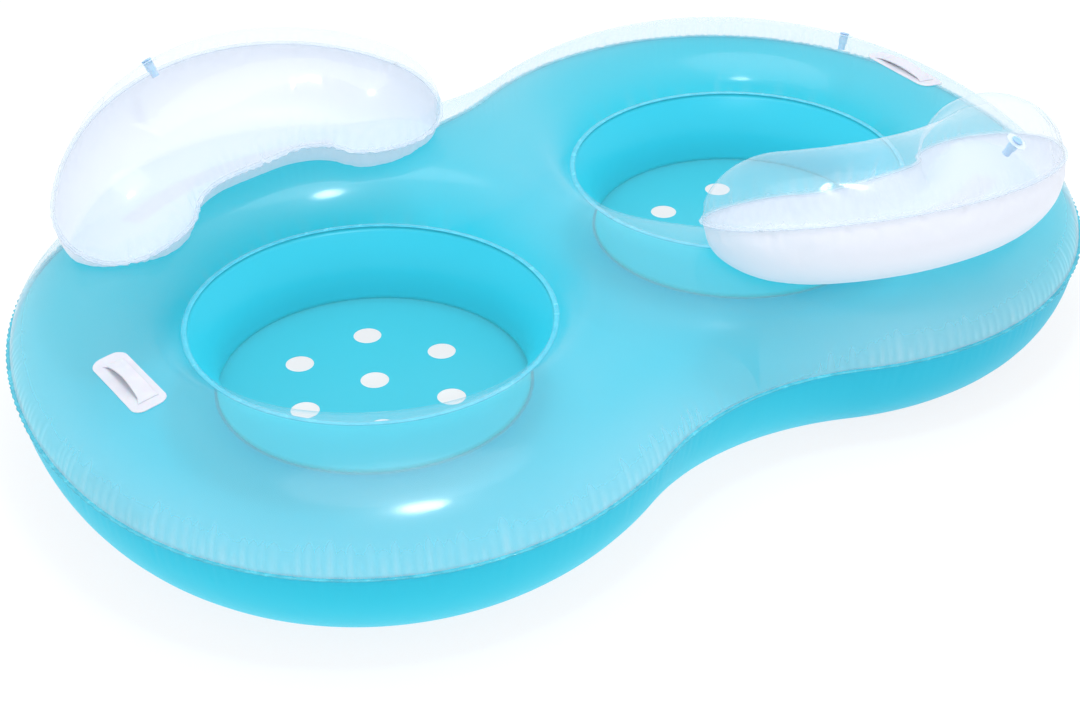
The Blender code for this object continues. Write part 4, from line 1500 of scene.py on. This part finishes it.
    def press_on_ring(self, obj: bpy.types.Object) -> None:
        """Flattens the underskin where it lies on the ring, upright or leant back.

        Args:
            obj: The underskin.
        """
        hinge = next(j for j in frame["joints"] if j["name"] == "left_backrest_lean")
        pivot, axis = Vector(hinge["pos_m"]), Vector(hinge["axis"])
        turns = [Matrix.Rotation(math.radians(lean), 3, axis) for lean in self.leans]
        points = read_points(obj)
        free = read_layer(obj, "held") < 0.99
        for point, loose in zip(points, free):
            if not loose:
                continue
            spots = [pivot + turn @ (Vector(point) - pivot) for turn in turns]
            gap = min(spot.z - height_on(self.ground, spot.x, spot.y) for spot in spots) - self.clearance
            point[2] += 0.5 * (math.sqrt(gap * gap + self.soft_touch**2) - gap)
        shape_blank(obj, points)

    def skin(self, name: str, crown: float) -> bpy.types.Object:
        """Shapes one skin from the seam to its middle line, fills it and gathers it at the seam.

        Args:
            name: The piece's name.
            crown: Height of the skin over the seam, negative below it.

        Returns:
            The skin.
        """
        start = math.copysign(SEAM_GAP, crown)
        turn = math.pi / 2 * np.arange(self.rows + 1) / self.rows
        rings = [self.ring(math.cos(t), start + (crown - start) * math.sin(t)) for t in turn]
        points = np.stack(rings, axis=1)
        run = self.run_along()
        along = np.broadcast_to(run[:-1][:, None], points.shape[:2])
        step = np.linalg.norm(np.diff(points, axis=1), axis=2)
        away = np.concatenate([np.zeros((len(points), 1)), np.cumsum(step, axis=1)], axis=1)
        depth = self.pleats.depth(along, away, run[-1]) * smooth_step(away / self.held)
        obj, column, row = blank(name, len(points), self.rows)
        column %= len(points)
        shape_blank(obj, points[column, row])
        layers = {"along": along, "pleat": depth / self.pleats.deep, "weld": np.exp(-away / self.weld),
                  "held": (away < TINY).astype(float)}
        for layer, values in layers.items():
            write_layer(obj, layer, values[column, row])
        tidy_mesh(obj, CRUMB)
        self.blow_up(obj)
        if crown < 0:
            self.press_on_ring(obj)
        middle = self.place(np.array(0.0), np.array(0.0), np.array(0.0))
        normals, points = read_normals(obj), read_points(obj)
        outward = np.sign(((points - middle) * normals).sum(axis=1).mean())
        points -= normals * outward * (read_layer(obj, "pleat") * self.pleats.deep)[:, None]
        return shape_blank(obj, points)

    def seam(self) -> bpy.types.Object:
        """Makes the pillow's welded lip.

        Returns:
            The lip.
        """
        run = self.run_along()
        away = np.full(len(run) - 1, self.lip_reach)
        wave = self.pleats.depth(run[:-1], away, run[-1]) / self.pleats.deep
        inner = self.ring(1 - self.lip_in / self.half_width, 0.0)
        outer = self.ring(1 + self.lip_out / self.half_width, 0.0)
        rows = 4
        obj, column, row = blank("backrest_left_seam_weld", len(inner), rows)
        column %= len(inner)
        share = (row / rows)[:, None]
        cut = (1 - 0.35 * wave[column] * smooth_step(row / rows))[:, None]
        points = inner[column] + (outer - inner)[column] * share * cut
        points[:, 2] += self.lip_lift * (wave[column] - 0.3) * smooth_step((row / rows - 0.4) / 0.6)
        shape_blank(obj, points)
        write_layer(obj, "along", run[:-1][column])
        tidy_mesh(obj)
        return thicken(obj, self.lip, 0.0)

    def strip(self) -> bpy.types.Object:
        """Makes the strip that welds the pillow down along the ring's crown.

        Returns:
            The strip.
        """
        columns, rows = 90, 8
        obj, column, row = blank("backrest_left_strip_weld", columns, rows)
        turn = math.pi / 2 + (column / columns - 0.5) * 2 * self.strip_half / self.strip_reach
        reach = self.strip_reach + self.strip_width / 2 * (2 * row / rows - 1)
        x = self.form.left_well[0] + reach * np.cos(turn)
        y = reach * np.sin(turn)
        z = np.array([height_on(self.ground, a, b) + self.strip_gap for a, b in zip(x, y)])
        shape_blank(obj, np.stack([x, y, z], axis=1))
        write_layer(obj, "along", turn * self.strip_reach)
        tidy_mesh(obj)
        return thicken(obj, self.lip, 1.0)

    def build(self, finishes: Finishes) -> dict[str, BVHTree]:
        """Builds the left backrest and copies it to the right.

        Args:
            finishes: The raft's finishes.

        Returns:
            Both top skins, by side.
        """
        top = self.skin("backrest_left_top_film", self.crown)
        under = self.skin("backrest_left_under_vinyl", -self.belly)
        skins = {"left": tree_of(top)}
        parts = ((top, "top", finishes.pillow_clear, Slot.CLEAR, self.fill),
                 (under, "under", finishes.white, Slot.WHITE, self.fill),
                 (self.seam(), "seam", finishes.pillow_seam, Slot.SEAM, None),
                 (self.strip(), "strip", finishes.rim, Slot.TURQUOISE, None))
        for obj, part, finish, slot, fill in parts:
            other = half_turn_copy(obj, obj.name.replace("left", "right"))
            if part == "top":
                skins["right"] = tree_of(other)
            for piece, side in ((obj, Side.LEFT), (other, Side.RIGHT)):
                body = "raft" if part == "strip" else f"{side.value}_backrest"
                dress(piece, finish, body, [f"backrest_{side.value}_{part}"])
        return skins


@dataclass
class Handle:
    """The left grab handle: a welded patch with a low moulded strap arched over it."""

    form: RaftForm
    ground: BVHTree
    turn: float = math.radians(-4.5)
    length: float = 0.158
    width: float = 0.054
    corner: float = 0.018
    sheet: float = 0.0016
    span: float = 0.118
    rise: float = 0.0095
    strap_width: float = 0.025
    strap_shift: float = 0.002
    lean: float = 0.55
    foot: float = 0.80
    arch_end: float = 0.88
    gap: float = 0.0004
    bead: float = 0.0004
    bead_width: float = 0.0016
    patch_edge: float = 0.0005
    strap_edge: float = 0.0009
    strap_gap: float = 0.0003
    cuts: int = 40
    strap: float = 0.0030

    def place(self, x: np.ndarray, y: np.ndarray) -> tuple[np.ndarray, np.ndarray]:
        """Plan position on the raft from a place on the handle.

        Args:
            x: Distance across the handle.
            y: Distance along it.

        Returns:
            The two plan coordinates.
        """
        reach = (self.form.spacing + self.form.well + self.form.lobe_radius(0.0)) / 2
        across = x * math.cos(self.turn) - y * math.sin(self.turn)
        along = x * math.sin(self.turn) + y * math.cos(self.turn)
        return across - reach, along

    def patch(self) -> bpy.types.Object:
        """Lays the patch on the ring's crown, its edge rolled to a thin bead.

        Returns:
            The patch.
        """
        corner_steps, side_steps, end_steps, rows = 10, 24, 8, 12
        loop = []
        for quarter, (sx, sy) in enumerate(((1, 1), (-1, 1), (-1, -1), (1, -1))):
            for k in range(corner_steps):
                angle = (quarter + k / corner_steps) * math.pi / 2
                loop.append((sx, sy, math.cos(angle), math.sin(angle), 0.0))
            angle = (quarter + 1) * math.pi / 2
            steps = end_steps if quarter % 2 == 0 else side_steps
            for k in range(steps):
                loop.append((sx, sy, math.cos(angle), math.sin(angle), k / steps))
        loop = np.array(loop)
        obj, column, row = blank("handle_left_patch_vinyl", len(loop), rows)
        column %= len(loop)
        share = 1 - row / rows
        sx, sy, cx, cy, run = (loop[column, k] for k in range(5))
        half_w = self.width / 2 * share
        half_l = (self.length - self.width) / 2 + half_w
        round_by = self.corner * share
        x = sx * (half_w - round_by) + round_by * cx
        y = sy * (half_l - round_by) + round_by * cy
        flat_x = 2 * (half_w - round_by)
        flat_y = 2 * (half_l - round_by)
        x = x + np.where(np.abs(cy) > 0.99, -np.sign(cy) * run * flat_x, 0.0)
        y = y + np.where(np.abs(cx) > 0.99, np.sign(cx) * run * flat_y, 0.0)
        px, py = self.place(x, y)
        bead = np.exp(-((row / rows * self.width / 2) / self.bead_width) ** 2) * self.bead
        z = np.array([height_on(self.ground, a, b) for a, b in zip(px, py)]) + self.gap + bead
        shape_blank(obj, np.stack([px, py, z], axis=1))
        tidy_mesh(obj, CRUMB)
        thicken(obj, self.sheet, 1.0)
        bevel = obj.modifiers.new("edge", "BEVEL")
        bevel.width = self.patch_edge
        bevel.segments = 3
        bevel.limit_method = "ANGLE"
        bevel.angle_limit = math.radians(50)
        settle(obj)
        bpy.ops.object.shade_smooth_by_angle(angle=math.radians(35))
        return obj

    def grip(self, patch: BVHTree) -> bpy.types.Object:
        """Shapes the strap from a bar: cut along its length, arched, and thinned at its feet.

        Args:
            patch: The patch that the strap stands on.

        Returns:
            The strap.
        """
        deselect()
        bpy.ops.mesh.primitive_cube_add(size=1.0)
        obj = named("handle_left_grip_vinyl")
        obj.scale = (self.strap_width, self.span, self.strap)
        settle(obj)
        bpy.ops.object.mode_set(mode="EDIT")
        bpy.ops.mesh.select_all(action="SELECT")
        bpy.ops.mesh.subdivide(number_cuts=3)
        bpy.ops.object.mode_set(mode="OBJECT")
        bevel = obj.modifiers.new("edge", "BEVEL")
        bevel.width = self.strap_edge
        bevel.segments = 3
        bevel.limit_method = "ANGLE"
        bevel.angle_limit = math.radians(50)
        settle(obj)
        bm = bmesh.new()
        bm.from_mesh(obj.data)
        for k in range(1, self.cuts):
            y = self.span * (k / self.cuts - 0.5)
            geom = list(bm.verts) + list(bm.edges) + list(bm.faces)
            bmesh.ops.bisect_plane(bm, geom=geom, plane_co=(0, y, 0), plane_no=(0, 1, 0), dist=HAIR / 5)
        half = self.span / 2
        for vert in bm.verts:
            x, y, z = vert.co
            share = min(abs(y) / half, 1.0)
            foot = float(smooth_step(np.array((share - self.foot) / (1 - self.foot))))
            thin = 1 - 0.80 * foot
            low = 1 - self.lean * (0.5 + x / self.strap_width)
            arch = self.rise * low * max(0.0, 1 - (share / self.arch_end) ** 2)
            wide = 1 + 0.30 * foot - 0.10 * (1 - share)
            px, py = self.place(np.array(x * wide + self.strap_shift), np.array(y))
            base = height_on(patch, float(px), float(py)) + self.strap_gap
            vert.co = (float(px), float(py), base + (z + self.strap / 2) * thin + arch)
        bm.to_mesh(obj.data)
        bm.free()
        take(obj)
        bpy.ops.object.shade_smooth_by_angle(angle=math.radians(60))
        return obj

    def build(self, finishes: Finishes) -> None:
        """Builds the left handle and copies it to the right.

        Args:
            finishes: The raft's finishes.
        """
        patch = self.patch()
        grip = self.grip(tree_of(patch))
        for obj, part in ((patch, "patch"), (grip, "grip")):
            other = half_turn_copy(obj, obj.name.replace("left", "right"))
            dress(obj, finishes.handle, "raft", [f"handle_left_{part}"])
            dress(other, finishes.handle, "raft", [f"handle_right_{part}"])


@dataclass
class Valve:
    """One push-in valve: a clear flange, a pale blue stem let into the sheet and its plug."""

    ring_radius: float = 0.0165
    ring: float = 0.0012
    stem_radius: float = 0.0078
    tip_radius: float = 0.0064
    depth: float = 0.0270
    step: float = 0.0150
    stand: float = 0.0020
    bore: float = 0.0046
    bore_depth: float = 0.0130
    cap_radius: float = 0.0085
    cap: float = 0.0016
    pin_depth: float = 0.0105
    gap: float = 0.0003
    slip: float = 0.0002
    hole_gap: float = 0.0004
    taper: float = 0.001
    edge: float = 0.0003
    ring_edge: float = 0.0002

    def lathe(self, name: str, outline: list[tuple[float, float]], edge: float) -> bpy.types.Object:
        """Spins a closed (radius, height) outline about the valve's axis.

        Args:
            name: The piece's name.
            outline: The outline, whose ends may lie on the axis.
            edge: Rounding of its sharp edges.

        Returns:
            The turned piece.
        """
        deselect()
        bpy.ops.mesh.primitive_plane_add(size=0.01)
        obj = named(name)
        bpy.ops.object.mode_set(mode="EDIT")
        bpy.ops.mesh.select_all(action="SELECT")
        bpy.ops.mesh.delete(type="VERT")
        bpy.ops.object.mode_set(mode="OBJECT")
        closed = outline[0][0] > 0 and outline[-1][0] > 0
        count = len(outline)
        edges = [(k, k + 1) for k in range(count - 1)] + ([(count - 1, 0)] if closed else [])
        obj.data.from_pydata([(r, 0.0, z) for r, z in outline], edges, [])
        take(obj)
        bpy.ops.object.mode_set(mode="EDIT")
        bpy.ops.mesh.select_all(action="SELECT")
        bpy.ops.mesh.spin(steps=48, angle=math.tau, center=(0, 0, 0), axis=(0, 0, 1))
        bpy.ops.object.mode_set(mode="OBJECT")
        tidy_mesh(obj, HAIR)
        bevel = obj.modifiers.new("edge", "BEVEL")
        bevel.width = edge
        bevel.segments = 3
        bevel.limit_method = "ANGLE"
        bevel.angle_limit = math.radians(40)
        settle(obj)
        bpy.ops.object.shade_smooth_by_angle(angle=math.radians(35))
        return obj

    def parts(self) -> list[bpy.types.Object]:
        """Turns the flange, stem and plug at the origin, their axis upwards.

        Returns:
            The three parts.
        """
        hole = self.stem_radius + self.hole_gap
        base = self.gap
        ring = [(hole, base), (self.ring_radius, base), (self.ring_radius, base + self.ring * 0.4),
                (self.ring_radius * 0.75, base + self.ring * 0.6), (hole + 0.0014, base + self.ring),
                (hole, base + self.ring)]
        stem = [(0.0, -self.depth), (self.tip_radius, -self.depth),
                (self.tip_radius, -self.step - self.taper),
                (self.stem_radius, -self.step), (self.stem_radius, self.stand * 0.2),
                (self.stem_radius, self.stand), (self.bore, self.stand), (self.bore, -self.bore_depth),
                (0.0, -self.bore_depth)]
        under = self.stand + self.gap
        pin = self.bore - self.slip
        plug = [(0.0, -self.pin_depth), (pin - 0.0006, -self.pin_depth),
                (pin, -self.pin_depth + self.taper),
                (pin, under), (self.cap_radius, under), (self.cap_radius, under + self.cap),
                (self.cap_radius * 0.45, under + self.cap),
                (self.cap_radius * 0.35, under + self.cap * 0.6),
                (0.0, under + self.cap * 0.6)]
        return [self.lathe("valve_ring", ring, self.ring_edge), self.lathe("valve_stem", stem, self.edge),
                self.lathe("valve_plug", plug, self.edge)]

    def build(self, finishes: Finishes, sheets: dict[str, BVHTree]) -> None:
        """Turns one valve and sets a copy of it in each of its three places.

        Args:
            finishes: The raft's finishes.
            sheets: The sheet that each valve is let into, by the valve's label.
        """
        parts = self.parts()
        sets = (("raft_valve", "raft", "raft"),
                ("backrest_left_valve", "left", "left_backrest"),
                ("backrest_right_valve", "right", "right_backrest"))
        for node, label, body in sets:
            joint = next(j for j in frame["joints"] if j["name"] == f"{label}_valve_slide")
            axis = Vector(joint["axis"]).normalized()
            start = Vector(joint["pos_m"]) + axis * self.depth
            spot = sheets[label].ray_cast(start, -axis)[0]
            place = Matrix.Translation(spot) @ axis.to_track_quat("Z", "Y").to_matrix().to_4x4()
            dressed = ((finishes.ring, Slot.RING, body),
                       (finishes.valve, Slot.VALVE, f"{label}_valve_stem"),
                       (finishes.plug, Slot.VALVE, f"{label}_valve_plug"))
            for source, (finish, slot, rides) in zip(parts, dressed):
                part = source.name.split("_")[1]
                piece = source.copy()
                piece.data = source.data.copy()
                piece.name = piece.data.name = f"{node}_{part}_vinyl"
                bpy.context.scene.collection.objects.link(piece)
                piece.data.transform(place)
                dress(piece, finish, rides, [f"{node}_{part}"])
        for source in parts:
            bpy.data.objects.remove(source)


# Studio


@dataclass
class Studio:
    """Plain white floor, soft light and the photograph's camera."""

    place: tuple[float, float, float] = (-1.8834, -2.2771, 1.8825)
    ahead: tuple[float, float, float] = (0.5233, 0.6513, -0.5495)
    right: tuple[float, float, float] = (0.7772, -0.6293, -0.0057)
    lens: float = 69.87
    sensor: float = 36.0
    floor_size: float = 14.0
    floor_gap: float = 0.0006
    floor_tones: tuple = ((0.165, 0.25, 0.27), (0.175, 0.26, 0.28))
    floor_glow: tuple[float, float, float] = (1.0, 0.90, 0.875)
    floor_glow_share: float = 0.83
    sky: tuple[float, float, float] = (0.96, 0.98, 1.0)
    sky_strength: float = 1.05
    key_place: tuple[float, float, float] = (-0.35, -0.75, 3.0)
    key_aim: tuple[float, float, float] = (-0.2, -0.2, 0.1)
    key_size: tuple[float, float] = (0.5, 0.4)
    key_power: float = 20.0
    overhead_place: tuple[float, float, float] = (0.1, 0.2, 3.2)
    overhead_aim: tuple[float, float, float] = (0.0, 0.0, 0.15)
    overhead_size: tuple[float, float] = (2.4, 1.8)
    overhead_power: float = 22.0

    def camera(self) -> None:
        """Sets the camera at the photograph's viewing angle."""
        data = bpy.data.cameras.new("camera")
        data.lens = self.lens
        data.sensor_width = self.sensor
        data.clip_start = 0.02
        obj = bpy.data.objects.new("camera", data)
        bpy.context.scene.collection.objects.link(obj)
        ahead = Vector(self.ahead).normalized()
        right = Vector(self.right)
        right = (right - ahead * right.dot(ahead)).normalized()
        turn = Matrix((right, right.cross(ahead), -ahead)).transposed()
        obj.matrix_world = Matrix.Translation(self.place) @ turn.to_4x4()
        bpy.context.scene.camera = obj

    def floor(self) -> None:
        """Lays the floor."""
        deselect()
        bpy.ops.mesh.primitive_plane_add(size=self.floor_size, location=(0.0, 0.0, -self.floor_gap))
        floor = named("studio_floor")
        bench = NodeBench("studio_floor_paint")
        tone = bench.blend(bench.ramp(bench.noise(0.6), 0.0, 1.0), *self.floor_tones)
        values = {"Base Color": tone, "Roughness": 0.9, "Specular IOR Level": 0.1,
                  "Emission Color": (*self.floor_glow, 1.0), "Emission Strength": self.floor_glow_share}
        shader = bench.add("ShaderNodeBsdfPrincipled", values)
        floor.data.materials.append(bench.close(shader.outputs[0]))

    def panel(self, name: str, place: tuple, size: tuple, power: float, aim: tuple) -> None:
        """Hangs one soft panel light.

        Args:
            name: The light's name.
            place: Where it hangs.
            size: Its width and height.
            power: Its power in watts.
            aim: The point it faces.
        """
        data = bpy.data.lights.new(name, "AREA")
        data.shape = "ELLIPSE"
        data.size, data.size_y = size
        data.energy = power
        obj = bpy.data.objects.new(name, data)
        bpy.context.scene.collection.objects.link(obj)
        obj.location = place
        away = Vector(place) - Vector(aim)
        obj.rotation_euler = away.to_track_quat("Z", "Y").to_euler()

    def build(self) -> None:
        """Sets up camera, floor, light and sky."""
        self.camera()
        self.floor()
        self.panel("key_panel", self.key_place, self.key_size, self.key_power, self.key_aim)
        self.panel("overhead_panel", self.overhead_place, self.overhead_size, self.overhead_power,
                   self.overhead_aim)
        world = bpy.data.worlds.new("studio_sky")
        world.use_nodes = True
        sky = world.node_tree.nodes["Background"]
        sky.inputs["Color"].default_value = (*self.sky, 1.0)
        sky.inputs["Strength"].default_value = self.sky_strength
        bpy.context.scene.world = world
        bpy.context.scene.view_settings.view_transform = "Standard"


def main() -> None:
    """Builds the raft's looks and its studio, piece by piece."""
    logging.basicConfig(level=logging.INFO, format="%(message)s")
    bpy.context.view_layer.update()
    form = RaftForm()
    finishes = Finishes.make()
    rings = Rings(form)
    ground = tree_of(rings.top_sheet(finishes))
    rings.bottom_sheet(finishes)
    rings.seam(finishes)
    Well(form).build(finishes)
    skins = Backrest(form, ground).build(finishes)
    Handle(form, ground).build(finishes)
    Valve().build(finishes, {"raft": ground, **skins})
    Studio().build()
    deselect()
    bpy.context.view_layer.update()


if __name__ == "__main__":
    main()
